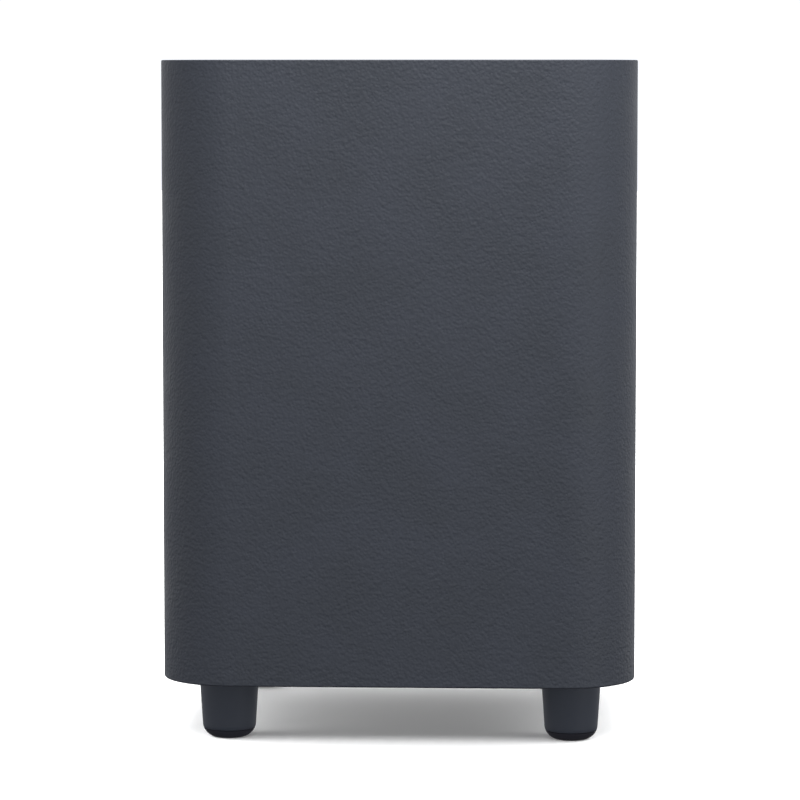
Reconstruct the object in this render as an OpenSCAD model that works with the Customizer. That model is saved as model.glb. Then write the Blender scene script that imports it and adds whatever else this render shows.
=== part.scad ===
// Down-firing wireless subwoofer: a wrapped fibreboard cabinet on four tapered feet, with the driver
// in its underside and the reflex port and amplifier in its rear wall.
// The origin is on the floor under the middle of the cabinet, +Z is up and the front faces -Y.

/* [Cabinet] */
// Width of the cabinet
cab_w = 305; // [290:1:380]
// Depth of the cabinet
cab_d = 305; // [290:1:380]
// Height of the cabinet without its feet
cab_h = 398; // [370:1:520]
// Radius of the four upright corners
corner_r = 47.4; // [38:0.1:57]
// Thickness of the bent side wall
wall = 15; // [13:1:18]
// Thickness of the top panel
top_t = 15; // [12:1:20]
// Thickness of the bottom panel that holds the driver
baffle_t = 18; // [15:1:22]
// Width of the wall's edge left outside each end panel
seam_lip = 4; // [3:0.5:6]
// Depth of the rebate that each end panel sits in
seat_h = 8; // [6:1:10]
// Thickness of the inner brace
brace_t = 12; // [9:1:18]
// Width of the brace's rim and ribs
brace_rim = 24; // [18:1:34]
// Thickness of the wadding
wadding_t = 14; // [8:1:20]

/* [Feet] */
// Height of a foot with its rubber sole
foot_h = 42; // [32:1:60]
// Radius of a foot where it meets the cabinet
foot_top_r = 19.5; // [16:0.1:21]
// Radius that the tapered side would have at the floor
foot_sole_r = 16.8; // [14:0.1:19]
// Radius of the rounding under a foot
foot_edge_r = 9.5; // [7:0.1:11]
// Height of the rubber sole
pad_h = 6; // [4:0.5:8]
// Distance from a foot's centre to the side of the cabinet
foot_inset_x = 41; // [38:0.5:44]
// Distance from the centre of a front foot to the front of the cabinet
foot_inset_front = 59; // [52:0.5:62]
// Distance from the centre of a rear foot to the rear of the cabinet
foot_inset_rear = 41; // [38:0.5:62]
// Radius of the bolt that holds a foot
foot_bolt_r = 2.5; // [2:0.5:3]

/* [Driver] */
// Outer radius of the driver's flange
driver_r = 123; // [98:1:125]
// Depth of the recess for the flange
driver_recess = 6; // [5:0.5:8]
// Thickness of the basket's steel
basket_t = 2; // [1.5:0.1:2.5]
// Travel of the cone each way from rest
cone_travel = 9; // [6:0.5:11]
// Radius of the surround's half roll
roll_r = 9; // [7:0.5:10]
// Height of the cone from its rim to its neck
cone_depth = 36; // [28:1:44]
// Radius of the dust cap
dust_cap_r = 42; // [34:1:48]
// Height of the dust cap's dome
dust_cap_rise = 14; // [10:1:18]
// Outer radius of the voice coil former
coil_r = 25.2; // [20:0.1:27]
// Outer radius of the spider
spider_r = 63.5; // [60:0.5:66]
// Outer radius of the magnet
magnet_r = 70; // [62:1:76]
// Thickness of the magnet
magnet_t = 22; // [20:1:30]
// Number of windows in the basket, and of screws in the flange
window_count = 8; // [6:2:10]

/* [Reflex port] */
// Inner radius of the port
port_r = 32; // [26:1:36]
// Length of the port
port_l = 180; // [140:5:200]
// Radius of the rounding at both mouths
flare_r = 12; // [8:1:14]
// Distance from the port's axis to the top of the cabinet
port_drop = 90; // [80:1:100]

/* [Amplifier] */
// Width of the amplifier plate
amp_w = 130; // [124:1:150]
// Height of the amplifier plate
amp_h = 190; // [184:1:200]
// Thickness of the amplifier plate
amp_plate_t = 3; // [2:0.5:4]
// How far the plate lies below the rear face
amp_recess = 2.5; // [2:0.5:3.5]
// Distance from the plate's centre to the bottom of the cabinet
amp_rise = 118; // [114:1:124]
// Depth of the amplifier housing from the rear face
housing_depth = 54; // [50:1:60]
// Length of the spacers between plate and boards
spacer_l = 10; // [10:0.5:12]
// Travel of the connect button
button_travel = 0.8; // [0.5:0.1:1.2]

/* [Fits] */
// Gap beside glued joints
glue_gap = 0.1; // [0.05:0.05:0.2]
// Gap around pieces that drop into a cut-out
slip_gap = 0.5; // [0.3:0.1:0.8]
// Gap around the thread of a screw
thread_gap = 0.05; // [0.02:0.01:0.1]
// Gap between the coil and each pole
coil_gap = 0.7; // [0.5:0.1:1]

/* [Hidden] */
$fn = 96;

// Heights and outlines of the cabinet
cab_top = foot_h + cab_h;
inner_w = cab_w - 2 * wall;
inner_d = cab_d - 2 * wall;
inner_r = corner_r - wall;
seat_w = cab_w - 2 * seam_lip;
seat_d = cab_d - 2 * seam_lip;
seat_r = corner_r - seam_lip;

// Feet
foot_x = cab_w / 2 - foot_inset_x;
foot_front_y = -cab_d / 2 + foot_inset_front;
foot_rear_y = cab_d / 2 - foot_inset_rear;
foot_slope = (foot_top_r - foot_sole_r) / foot_h;
foot_lean = sqrt(1 + foot_slope * foot_slope);
foot_flat_r = foot_sole_r + foot_slope * foot_edge_r - foot_edge_r * foot_lean;
foot_tangent = [foot_flat_r + foot_edge_r / foot_lean, foot_edge_r * (1 - foot_slope / foot_lean)];
pad_plug_r = 6;
pad_plug_h = 3;
foot_bolt_head_r = 4.5;
foot_bolt_head_h = 3;
foot_bolt_seat = pad_h + pad_plug_h + foot_bolt_head_h + 1;
foot_insert_r = 4;
foot_insert_l = 12;
foot_insert_z = foot_h + 2;

// Driver, stacked up from the recess in the bottom panel
driver_gasket_t = 1;
surround_t = 1.2;
trim_t = 1.5;
flange_top = foot_h + driver_recess - driver_gasket_t;
flange_z = flange_top - basket_t;
flange_seat_w = 11;
bolt_inset = 5;
bolt_head_r = 4.2;
bolt_head_h = 2.4;
bolt_r = 2;
bolt_l = 13;
bolt_ring_r = driver_r - bolt_inset;
driver_hole_r = driver_r - flange_seat_w;
landing_w = 7;
landing_r = bolt_ring_r - bolt_head_r - 0.8;
roll_mid_r = landing_r - landing_w - roll_r;
cone_rim_r = roll_mid_r - roll_r;
cone_lip_w = 6;
cone_lip_r = cone_rim_r - cone_lip_w;
cone_t = 1.2;
neck_r = coil_r + thread_gap;
neck_h = 5;
cone_slope = cone_depth / (cone_lip_r - neck_r);
neck_top = flange_z + cone_depth + neck_h;
basket_in_r = roll_mid_r + roll_r - 2;
former_t = 0.6;
coil_t = 1.35;
coil_over = 8;
top_plate_t = 8;
top_plate_r = magnet_r - 10;
yoke_t = 8;
magnet_hole_r = 36;
spider_t = 0.8;
spider_waves = 4;
spider_hub_w = 4.7;
spider_edge_w = 5.5;
spider_z = neck_top + 8;
wave_r = (spider_r - spider_edge_w - neck_r - spider_hub_w) / (2 * spider_waves);
ledge_in_r = spider_r - spider_edge_w + 0.6;
ledge_out_r = spider_r + 4.5;
back_z = spider_z + spider_t + wave_r + cone_travel + 2.7;
top_plate_z = back_z + basket_t;
magnet_z = top_plate_z + top_plate_t;
yoke_z = magnet_z + magnet_t;
pole_r = coil_r - former_t - coil_gap;
vent_r = 8;
coil_out_r = coil_r + thread_gap + coil_t;
coil_z = top_plate_z - coil_over;
coil_top = magnet_z + coil_over;
former_top = coil_top + 3;
window_angle = 360 / window_count;

// Terminal strip on a spoke of the basket, and the leads on it
terminal_angle = 180 - window_angle / 2;
terminal_t = 1.6;
terminal_w = 22;
terminal_l = 13;
bracket_z = flange_z + 29;
terminal_z = bracket_z + basket_t;
terminal_in_r = basket_out_r(terminal_z) + 0.7;
terminal_out_r = terminal_in_r + terminal_l;
tab_r = terminal_out_r - 4;
tab_dy = 6;
tab_t = 0.8;
tab_w = 4.8;
tab_h = 8;
tinsel_r = 0.7;
tinsel_land_r = 52;
tinsel_z = terminal_z + terminal_t + tinsel_r + 0.1;
tinsel_bend = tinsel_z - cone_over(tinsel_land_r - tinsel_r) - 0.1;
connector_z = terminal_z + terminal_t + 2;
connector_h = 13;

// Reflex port
port_z = cab_top - port_drop;
port_t = 2;
port_lip_w = 6;
port_lip_t = 3;
port_body_r = port_r + flare_r + 2;
port_flange_r = port_r + flare_r + port_lip_w;
port_socket_t = 3;
port_socket_l = 14;
port_step = flare_r + 2;

// Amplifier, whose depths count outwards from the rear face and so are negative inside
amp_z = foot_h + amp_rise;
amp_corner_r = 8;
amp_margin = 11;
housing_w = amp_w - 2 * amp_margin;
housing_h = amp_h - 2 * amp_margin - 4;
housing_t = 2.5;
amp_gasket_t = 1;
plate_face = -amp_recess;
plate_back = plate_face - amp_plate_t;
pocket_floor = plate_back - amp_gasket_t;
board_t = 1.6;
board_face = plate_back - spacer_l;
board_back = board_face - board_t;
board_w = housing_w - 26;
board_gap = 6;
board_h = (housing_h - 14 - board_gap) / 2 - 1;
power_v = (board_h + board_gap) / 2;
amp_v = -power_v;
spacer_r = 3;
spacer_inset = 4;
m3_r = 1.4;
m3_head_r = 2.7;
m3_head_h = 1.8;
boss_r = 4;
boss_inset = 6;
wood_screw_r = 1.9;
wood_screw_head_r = 3.7;
wood_screw_head_h = 1.8;
wood_screw_l = 12;
housing_screw_l = 12;
board_screw_l = 6;
plate_screw_inset = 6;
inlet_v = 62;
control_v = -62;
button_u = -24;
service_u = 24;
button_r = 5;
button_gap = 0.3;
button_rim = 1.4;
button_proud = 1.5;
button_flange_t = 1.4;
button_back = plate_back - 0.1 - button_flange_t;
plunger_r = 1.5;
plunger_gap = 0.08;
switch_w = 6;
switch_top = board_face + 4.4;
plunger_end = switch_top - 0.6;
switch_bore = plunger_end - switch_top - button_travel - 0.8;
light_r = 1.6;
inlet_w = 22;
inlet_h = 13;
inlet_rim = 2.5;
inlet_flange_t = 1.8;
inlet_face = plate_face + inlet_flange_t;
socket_r = 4.4;
socket_dx = 4.2;
socket_waist = 6;
socket_depth = 12;
pin_r = 1.2;
pin_dx = 4.3;
pin_gap = 0.05;
service_w = 13.2;
service_h = 5.8;
service_t = 0.4;
gland_u = -28;
gland_v = -10;
gland_hole_r = 5;
gland_bore_r = 3;
gland_flange_r = 7;
gland_flange_t = 1.2;
wire_r = 1.1;
wire_dz = 1.6;
wire_steps = 18;

// Colours
vinyl = [0.27, 0.29, 0.33];
board_brown = [0.45, 0.36, 0.26];
moulded = [0.13, 0.14, 0.16];
rubber = [0.08, 0.08, 0.09];
steel = [0.62, 0.63, 0.65];
brass = [0.78, 0.63, 0.3];
copper = [0.72, 0.42, 0.25];
board_green = [0.1, 0.32, 0.2];

// Underside of the cone, and its upper side, at a radius
function cone_under(r) = flange_z + (cone_lip_r - r) * cone_slope;
function cone_over(r) = cone_under(r) + cone_t * sqrt(1 + cone_slope * cone_slope);

// Radius of the basket's wall at a height, outside and inside
function basket_out_r(z) = basket_in_r + 2.5
  - (z - flange_top) / (spider_z - flange_top) * (basket_in_r - ledge_out_r);
function basket_inner_r(z) = basket_in_r
  - (z - flange_z) / (spider_z - basket_t - flange_z) * (basket_in_r - ledge_out_r);

function unit(v) = v / norm(v);
function bezier(p, t) = pow(1 - t, 3) * p[0] + 3 * t * pow(1 - t, 2) * p[1]
  + 3 * t * t * (1 - t) * p[2] + t * t * t * p[3];

module rounded_square(w, h, r) {
  square([w - 2 * r, h], center = true);
  square([w, h - 2 * r], center = true);
  for (x = [-1, 1], y = [-1, 1]) translate([x * (w / 2 - r), y * (h / 2 - r)]) circle(r);
}

module slab(w, h, r, z0, z1) {
  translate([0, 0, z0]) linear_extrude(z1 - z0) rounded_square(w, h, r);
}

module ring(r_in, r_out, z0, z1) {
  rotate_extrude() translate([r_in, z0]) square([r_out - r_in, z1 - z0]);
}

module rod(r, z0, z1) {
  translate([0, 0, z0]) cylinder(r = r, h = z1 - z0);
}

// A block centred on the axis between two heights
module block(w, h, z0, z1) {
  translate([-w / 2, -h / 2, z0]) cube([w, h, z1 - z0]);
}

// Places children on the rear face: local X is across, local Y is down and local Z is outwards
module on_rear(x, z) {
  translate([x, cab_d / 2, z]) rotate([-90, 0, 0]) children();
}

module at_corners(x, y) {
  for (i = [-1, 1], j = [-1, 1]) translate([i * x, j * y, 0]) children();
}

module at_feet() {
  for (x = [-foot_x, foot_x], y = [foot_front_y, foot_rear_y]) translate([x, y, 0]) children();
}

// Screw that enters along -Z from its head's seat at height 0
module pan_screw(head_r, head_h, r, l) {
  rotate_extrude() polygon([
    [0, -l], [r, -l], [r, 0], [head_r, 0], [head_r, head_h * 0.5], [head_r * 0.72, head_h], [0, head_h]
  ]);
}

// Countersunk screw whose flat head ends at height 0
module sunk_screw(head_r, head_h, r, l) {
  rotate_extrude() polygon([[0, -l], [r, -l], [r, -head_h], [head_r, 0], [0, 0]]);
}

// Hole that a countersunk screw sits in
module sunk_hole(head_r, head_h, r, l) {
  rotate_extrude() polygon([
    [0, -l], [r + glue_gap, -l], [r + glue_gap, -head_h], [head_r + glue_gap, 0], [head_r + glue_gap, 1], [0, 1]
  ]);
}

// Tube with flat sides along a list of points, none of whose steps runs along X
module tube_along(points, r, sides = 8) {
  last = len(points) - 1;
  rings = [
    for (i = [0 : last])
      let (
        t = unit(points[min(i + 1, last)] - points[max(i - 1, 0)]),
        u = unit(cross(t, [1, 0, 0])),
        v = cross(t, u)
      )
      for (k = [0 : sides - 1]) points[i] + r * (cos(360 * k / sides) * u + sin(360 * k / sides) * v)
  ];
  walls = [
    for (i = [0 : last - 1], k = [0 : sides - 1])
      let (a = i * sides + k, b = i * sides + (k + 1) % sides)
      [a, a + sides, b + sides, b]
  ];
  start_cap = [for (k = [0 : sides - 1]) k];
  end_cap = [for (k = [sides - 1 : -1 : 0]) last * sides + k];
  polyhedron(rings, concat(walls, [start_cap, end_cap]));
}

// ---- Cabinet ----

// Bent wall, open at both ends, rebated for the end panels and cut for the port and the amplifier
module cabinet_sleeve() {
  color(vinyl) difference() {
    slab(cab_w, cab_d, corner_r, foot_h, cab_top);
    slab(inner_w, inner_d, inner_r, foot_h - 1, cab_top + 1);
    slab(seat_w, seat_d, seat_r, foot_h - 1, foot_h + seat_h);
    slab(seat_w, seat_d, seat_r, cab_top - seat_h, cab_top + 1);
    on_rear(0, port_z) rod(port_body_r + slip_gap, -wall - 1, 1);
    on_rear(0, port_z) rod(port_flange_r + slip_gap, -port_lip_t, 1);
    on_rear(0, amp_z) slab(housing_w + 2 * slip_gap, housing_h + 2 * slip_gap, amp_corner_r, -wall - 1, 1);
    on_rear(0, amp_z) slab(amp_w + 2 * slip_gap, amp_h + 2 * slip_gap, amp_corner_r, pocket_floor, 1);
    at_plate_screws() rod(wood_screw_r + thread_gap, plate_face - wood_screw_l - 0.2, 0);
  }
}

// End panel: a wide part flush in the rebate and a narrower part inside the wall
module end_panel(t) {
  slab(seat_w - 2 * glue_gap, seat_d - 2 * glue_gap, seat_r - glue_gap, 0, seat_h);
  slab(inner_w - 2 * glue_gap, inner_d - 2 * glue_gap, inner_r - glue_gap, seat_h, t);
}

module top_panel() {
  color(vinyl) translate([0, 0, cab_top]) mirror([0, 0, 1]) end_panel(top_t);
}

module bottom_baffle() {
  color(vinyl) difference() {
    translate([0, 0, foot_h]) end_panel(baffle_t);
    rod(driver_hole_r, foot_h - 1, foot_h + baffle_t + 1);
    rod(driver_r + slip_gap, foot_h - 1, foot_h + driver_recess);
    at_driver_screws() rod(bolt_r + thread_gap, foot_h, flange_z + bolt_l + 0.5);
    at_feet() {
      rod(foot_bolt_r + slip_gap, foot_h - 1, foot_insert_z + 1);
      rod(foot_insert_r + thread_gap, foot_insert_z, foot_h + baffle_t + 1);
    }
  }
}

// Level frame with four windows that ties the side walls together above the amplifier
module window_brace() {
  z = amp_z + amp_h / 2 + 7;
  window_w = inner_w / 2 - 1.5 * brace_rim;
  window_d = inner_d / 2 - 1.5 * brace_rim;
  color(board_brown) difference() {
    slab(inner_w - 2 * glue_gap, inner_d - 2 * glue_gap, inner_r - glue_gap, z, z + brace_t);
    at_corners((window_w + brace_rim) / 2, (window_d + brace_rim) / 2)
      slab(window_w, window_d, 16, z - 1, z + brace_t + 1);
  }
}

// Soft lining along the front and side walls, from the brace to the top panel
module damping_wadding() {
  z0 = amp_z + amp_h / 2 + 7 + brace_t + 2;
  z1 = cab_top - top_t - 2;
  gap = 0.4;
  out = wall + gap;
  in = out + wadding_t;
  color([0.85, 0.85, 0.83]) difference() {
    slab(cab_w - 2 * out, cab_d - 2 * out, corner_r - out, z0, z1);
    slab(cab_w - 2 * in, cab_d - 2 * in, corner_r - in, z0 - 1, z1 + 1);
    translate([-cab_w / 2, cab_d / 4, z0 - 1]) cube([cab_w, cab_d, z1 - z0 + 2]);
  }
}

// ---- Reflex port ----

// Outline of a rounded mouth, with its face at height 0 and a socket for the tube below
module port_bell() {
  intersection() {
    translate([port_r + flare_r, -flare_r]) circle(flare_r);
    translate([port_r, -port_step]) square([port_body_r - port_r, port_step]);
  }
  difference() {
    translate([port_r, -port_step - port_socket_l])
      square([port_t + port_socket_t, port_socket_l + port_step - flare_r]);
    translate([port_r - 1, -port_step - port_socket_l - 1])
      square([port_t + glue_gap + 1, port_socket_l + 1]);
  }
}

module port_mouth() {
  color(moulded) on_rear(0, port_z) rotate_extrude() {
    port_bell();
    translate([port_r + flare_r, -port_lip_t]) square([port_lip_w, port_lip_t]);
  }
}

module port_tube() {
  color(moulded) on_rear(0, port_z) ring(port_r, port_r + port_t, port_step - port_l, -port_step);
}

module port_inner_flare() {
  color(moulded) on_rear(0, port_z) rotate_extrude() translate([0, -port_l]) mirror([0, 1]) port_bell();
}

// ---- Feet ----

// Half outline of a whole foot: tapered side, rounded lower edge, flat sole
module foot_outline() {
  translate([foot_flat_r, foot_edge_r]) intersection() {
    circle(foot_edge_r);
    translate([0, -foot_edge_r]) square([foot_edge_r, 2 * foot_edge_r]);
  }
  polygon([
    [0, 0], [foot_flat_r, 0], [foot_flat_r, foot_edge_r], foot_tangent, [foot_top_r, foot_h], [0, foot_h]
  ]);
}

module foot(side, y) {
  color(moulded) translate([side * foot_x, y, 0]) rotate_extrude() difference() {
    foot_outline();
    translate([-1, -1]) square([2 * foot_top_r, pad_h + 1]);
    translate([-1, -1]) square([pad_plug_r + glue_gap + 1, foot_bolt_seat + 1]);
    translate([-1, -1]) square([foot_bolt_r + slip_gap + 1, foot_h + 2]);
  }
}

module foot_pad(side, y) {
  color(rubber) translate([side * foot_x, y, 0]) rotate_extrude() {
    intersection() {
      foot_outline();
      square([foot_top_r, pad_h]);
    }
    square([pad_plug_r, pad_h + pad_plug_h]);
  }
}

module foot_front_left() { foot(-1, foot_front_y); }
module foot_front_right() { foot(1, foot_front_y); }
module foot_rear_left() { foot(-1, foot_rear_y); }
module foot_rear_right() { foot(1, foot_rear_y); }
module foot_pad_front_left() { foot_pad(-1, foot_front_y); }
module foot_pad_front_right() { foot_pad(1, foot_front_y); }
module foot_pad_rear_left() { foot_pad(-1, foot_rear_y); }
module foot_pad_rear_right() { foot_pad(1, foot_rear_y); }

module foot_screws() {
  l = foot_insert_z + foot_insert_l - 2 - foot_bolt_seat;
  color(steel) at_feet() translate([0, 0, foot_bolt_seat]) rotate([180, 0, 0])
    pan_screw(foot_bolt_head_r, foot_bolt_head_h, foot_bolt_r, l);
}

module foot_inserts() {
  color(brass) at_feet()
    ring(foot_bolt_r + thread_gap, foot_insert_r, foot_insert_z, foot_insert_z + foot_insert_l);
}

// ---- Driver ----

module at_driver_screws() {
  for (i = [0 : window_count - 1]) rotate([0, 0, (i + 0.5) * window_angle]) translate([bolt_ring_r, 0, 0]) children();
}

// Pressed steel frame: flange, sloping wall with windows, ledge for the spider, and seat for the motor
module basket() {
  window_foot = flange_z + 7;
  window_head = spider_z - 6;
  vent_foot = spider_z + 3;
  vent_head = back_z - 3;
  color(steel) {
    difference() {
      rotate_extrude() polygon([
        [basket_in_r, flange_z], [driver_r, flange_z], [driver_r, flange_top],
        [basket_in_r + 2.5, flange_top], [ledge_out_r + 2.5, spider_z], [top_plate_r + 2, top_plate_z],
        [magnet_hole_r, top_plate_z], [magnet_hole_r, back_z], [top_plate_r, back_z],
        [spider_r + 0.7, spider_z], [ledge_in_r, spider_z], [ledge_in_r, spider_z - basket_t],
        [ledge_out_r, spider_z - basket_t]
      ]);
      for (i = [0 : window_count - 1]) rotate([0, 0, i * window_angle]) {
        translate([0, 0, window_foot]) linear_extrude(window_head - window_foot)
          polygon([[spider_r - 3, -14], [driver_r, -23], [driver_r, 23], [spider_r - 3, 14]]);
        translate([spider_r - 10, -10, vent_foot]) cube([30, 20, vent_head - vent_foot]);
      }
      at_driver_screws() rod(bolt_r + 0.2, flange_z - 1, flange_top + 1);
      rotate([0, 0, terminal_angle]) translate([basket_inner_r(terminal_z) - 8, -8, terminal_z + terminal_t - 0.6])
        cube([20, 16, 5]);
    }
    rotate([0, 0, terminal_angle])
      translate([(basket_inner_r(terminal_z) + basket_out_r(terminal_z)) / 2, -terminal_w / 2, bracket_z])
        cube([terminal_out_r - (basket_inner_r(terminal_z) + basket_out_r(terminal_z)) / 2, terminal_w, basket_t]);
  }
}

module driver_gasket() {
  color(rubber) difference() {
    ring(driver_hole_r, driver_r - 0.5, flange_top, flange_top + driver_gasket_t);
    at_driver_screws() rod(bolt_r + 0.2, flange_z, flange_top + driver_gasket_t + 1);
  }
}

// Rubber half roll that bulges downwards, with a flat edge on the basket and one on the cone
module surround() {
  z = flange_z - surround_t / 2;
  color(rubber) rotate_extrude() {
    translate([roll_mid_r, z]) intersection() {
      difference() {
        circle(roll_r + surround_t / 2);
        circle(roll_r - surround_t / 2);
      }
      translate([-roll_r - surround_t, -roll_r - surround_t])
        square([2 * (roll_r + surround_t), roll_r + surround_t]);
    }
    translate([roll_mid_r + roll_r - surround_t / 2, flange_z - surround_t])
      square([landing_r - roll_mid_r - roll_r + surround_t / 2, surround_t]);
    translate([cone_lip_r, flange_z - surround_t]) square([cone_lip_w + surround_t / 2, surround_t]);
  }
}

module trim_ring() {
  z = flange_z - surround_t;
  color(moulded) ring(roll_mid_r + roll_r + surround_t, landing_r, z - trim_t, z);
}

module cone() {
  color([0.12, 0.12, 0.13]) rotate_extrude() polygon([
    [cone_lip_r, flange_z], [cone_rim_r, flange_z], [cone_rim_r, flange_z + cone_t],
    [cone_lip_r + 0.4, flange_z + cone_t], [neck_r + cone_t, cone_over(neck_r + cone_t)],
    [neck_r + cone_t, neck_top], [neck_r, neck_top], [neck_r, cone_under(neck_r)]
  ]);
}

// Shallow dome glued under the cone
module dust_cap() {
  sphere_r = (dust_cap_r * dust_cap_r + dust_cap_rise * dust_cap_rise) / (2 * dust_cap_rise);
  rim_z = cone_under(dust_cap_r) - thread_gap;
  color([0.1, 0.1, 0.11]) rotate_extrude() intersection() {
    translate([0, rim_z - dust_cap_rise + sphere_r]) difference() {
      circle(sphere_r, $fn = 360);
      circle(sphere_r - 1, $fn = 360);
    }
    translate([0, rim_z - dust_cap_rise]) square([dust_cap_r, dust_cap_rise]);
  }
}

module voice_coil_former() {
  color([0.75, 0.6, 0.35]) ring(coil_r - former_t, coil_r, cone_under(neck_r), former_top);
}

module voice_coil() {
  color(copper) ring(coil_r + thread_gap, coil_out_r, coil_z, coil_top);
}

// Corrugated disc of resin-dipped cloth: half waves alternately up and down between two flat edges
module spider() {
  z = spider_z + spider_t / 2;
  first_r = neck_r + spider_hub_w + wave_r;
  color([0.7, 0.6, 0.3]) rotate_extrude() {
    translate([neck_r, spider_z]) square([spider_hub_w + spider_t / 2, spider_t]);
    translate([spider_r - spider_edge_w - spider_t / 2, spider_z]) square([spider_edge_w + spider_t / 2, spider_t]);
    for (i = [0 : spider_waves - 1]) translate([first_r + 2 * i * wave_r, z]) intersection() {
      difference() {
        circle(wave_r + spider_t / 2);
        circle(wave_r - spider_t / 2);
      }
      translate([-2 * wave_r, i % 2 == 0 ? 0 : -2 * wave_r]) square([4 * wave_r, 2 * wave_r]);
    }
  }
}

module top_plate() {
  color(steel) ring(coil_out_r + coil_gap, top_plate_r, top_plate_z, magnet_z);
}

module magnet() {
  color([0.2, 0.2, 0.21]) ring(magnet_hole_r, magnet_r, magnet_z, yoke_z);
}

// Back plate and pole in one turned piece, with a vent through both
module yoke() {
  color(steel) rotate_extrude() polygon([
    [vent_r, top_plate_z], [pole_r, top_plate_z], [pole_r, yoke_z], [top_plate_r, yoke_z],
    [top_plate_r, yoke_z + yoke_t], [vent_r, yoke_z + yoke_t]
  ]);
}

module terminal_strip() {
  color(board_brown) rotate([0, 0, terminal_angle]) translate([terminal_in_r, -terminal_w / 2, terminal_z])
    cube([terminal_l, terminal_w, terminal_t]);
}

module terminal_tabs() {
  color(brass) rotate([0, 0, terminal_angle]) for (k = [-1, 1])
    translate([tab_r, k * tab_dy, 0]) block(tab_t, tab_w, terminal_z + terminal_t, terminal_z + terminal_t + tab_h);
}

// Two braided leads from the terminal strip through the basket's wall to the back of the cone
module tinsel_leads() {
  bend_r = tinsel_land_r + tinsel_bend;
  color(copper) rotate([0, 0, terminal_angle]) for (k = [-1, 1]) translate([0, k * tab_dy, 0]) {
    translate([bend_r, 0, tinsel_z]) rotate([0, 90, 0]) cylinder(r = tinsel_r, h = tab_r - 2 - bend_r);
    translate([bend_r, 0, tinsel_z - tinsel_bend]) rotate([90, 0, 0]) rotate([0, 0, 90])
      rotate_extrude(angle = 90) translate([tinsel_bend, 0]) circle(tinsel_r);
  }
}

module driver_screws() {
  color(steel) at_driver_screws() translate([0, 0, flange_z]) rotate([180, 0, 0])
    pan_screw(bolt_head_r, bolt_head_h, bolt_r, bolt_l);
}

// ---- Amplifier ----

module at_plate_screws() {
  x = amp_w / 2 - plate_screw_inset;
  y = amp_h / 2 - plate_screw_inset;
  on_rear(0, amp_z) for (i = [-1, 0, 1], j = [-1, 0, 1])
    if (i != 0 || j != 0) translate([i * x, j * y, 0]) children();
}

module at_housing_screws() {
  on_rear(0, amp_z) at_corners(housing_w / 2 - boss_inset, housing_h / 2 - boss_inset) children();
}

module at_board_screws() {
  on_rear(0, amp_z) for (v = [power_v, amp_v]) translate([0, v, 0])
    at_corners(board_w / 2 - spacer_inset, board_h / 2 - spacer_inset) children();
}

// Plate across the recess, with holes for the socket, the button, the light, the service port and screws
module amp_plate() {
  color(moulded) difference() {
    on_rear(0, amp_z) slab(amp_w, amp_h, amp_corner_r - slip_gap, plate_back, plate_face);
    on_rear(0, amp_z - inlet_v) block(inlet_w + 0.6, inlet_h + 0.6, plate_back - 1, plate_face + 1);
    on_rear(button_u, amp_z - control_v) rod(button_r + button_gap, plate_back - 1, plate_face + 1);
    on_rear(0, amp_z - control_v) rod(light_r + glue_gap, plate_back - 1, plate_face + 1);
    on_rear(service_u, amp_z - control_v) block(service_w + 0.6, service_h + 0.6, plate_back - 1, plate_face + 1);
    at_plate_screws() translate([0, 0, plate_face])
      sunk_hole(wood_screw_head_r, wood_screw_head_h, wood_screw_r, amp_plate_t + 1);
    at_housing_screws() translate([0, 0, plate_face])
      sunk_hole(wood_screw_head_r, wood_screw_head_h, wood_screw_r, amp_plate_t + 1);
  }
}

module plate_gasket() {
  color(rubber) difference() {
    on_rear(0, amp_z) slab(amp_w, amp_h, amp_corner_r - slip_gap, pocket_floor, plate_back);
    on_rear(0, amp_z)
      slab(housing_w + 2 * slip_gap, housing_h + 2 * slip_gap, amp_corner_r, pocket_floor - 1, plate_back + 1);
    at_plate_screws() rod(wood_screw_r + 0.2, pocket_floor - 1, plate_back + 1);
  }
}

// Airtight tub that keeps the driver's pressure off the electronics
module amp_housing() {
  color(moulded) difference() {
    union() {
      difference() {
        on_rear(0, amp_z) slab(housing_w, housing_h, amp_corner_r, -housing_depth, plate_back);
        on_rear(0, amp_z) slab(housing_w - 2 * housing_t, housing_h - 2 * housing_t, amp_corner_r - housing_t,
          -housing_depth + housing_t, plate_back + 1);
      }
      at_housing_screws() rod(boss_r, -housing_depth + housing_t / 2, plate_back);
    }
    at_housing_screws() rod(wood_screw_r + thread_gap, plate_face - housing_screw_l - 0.5, plate_back + 1);
    on_rear(gland_u, amp_z - gland_v) rod(gland_hole_r, -housing_depth - 1, -housing_depth + housing_t + 1);
  }
}

module circuit_board(v) {
  on_rear(0, amp_z) translate([0, v, 0]) slab(board_w, board_h, 2, board_back, board_face);
}

module power_board() {
  color(board_green) difference() {
    circuit_board(power_v);
    at_board_screws() rod(m3_r + 0.2, board_back - 1, board_face + 1);
  }
}

module amp_board() {
  color(board_green) difference() {
    circuit_board(amp_v);
    at_board_screws() rod(m3_r + 0.2, board_back - 1, board_face + 1);
  }
}

module board_spacers() {
  color(brass) at_board_screws() difference() {
    translate([0, 0, board_face]) cylinder(r = spacer_r, h = spacer_l, $fn = 6);
    rod(m3_r + thread_gap, board_face - 1, board_face + spacer_l - 2);
  }
}

module board_screws() {
  color(steel) at_board_screws() translate([0, 0, board_back]) rotate([180, 0, 0])
    pan_screw(m3_head_r, m3_head_h, m3_r, board_screw_l);
}

module transformer() {
  color([0.25, 0.24, 0.2]) on_rear(-18, amp_z - power_v + 8) {
    block(30, 18, board_back - 21, board_back - 1);
    block(20, 26, board_back - 18, board_back);
  }
}

module bulk_capacitors() {
  color([0.1, 0.1, 0.14]) for (x = [12, 30])
    on_rear(x, amp_z - power_v + 12) rod(8, board_back - 30, board_back);
}

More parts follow.
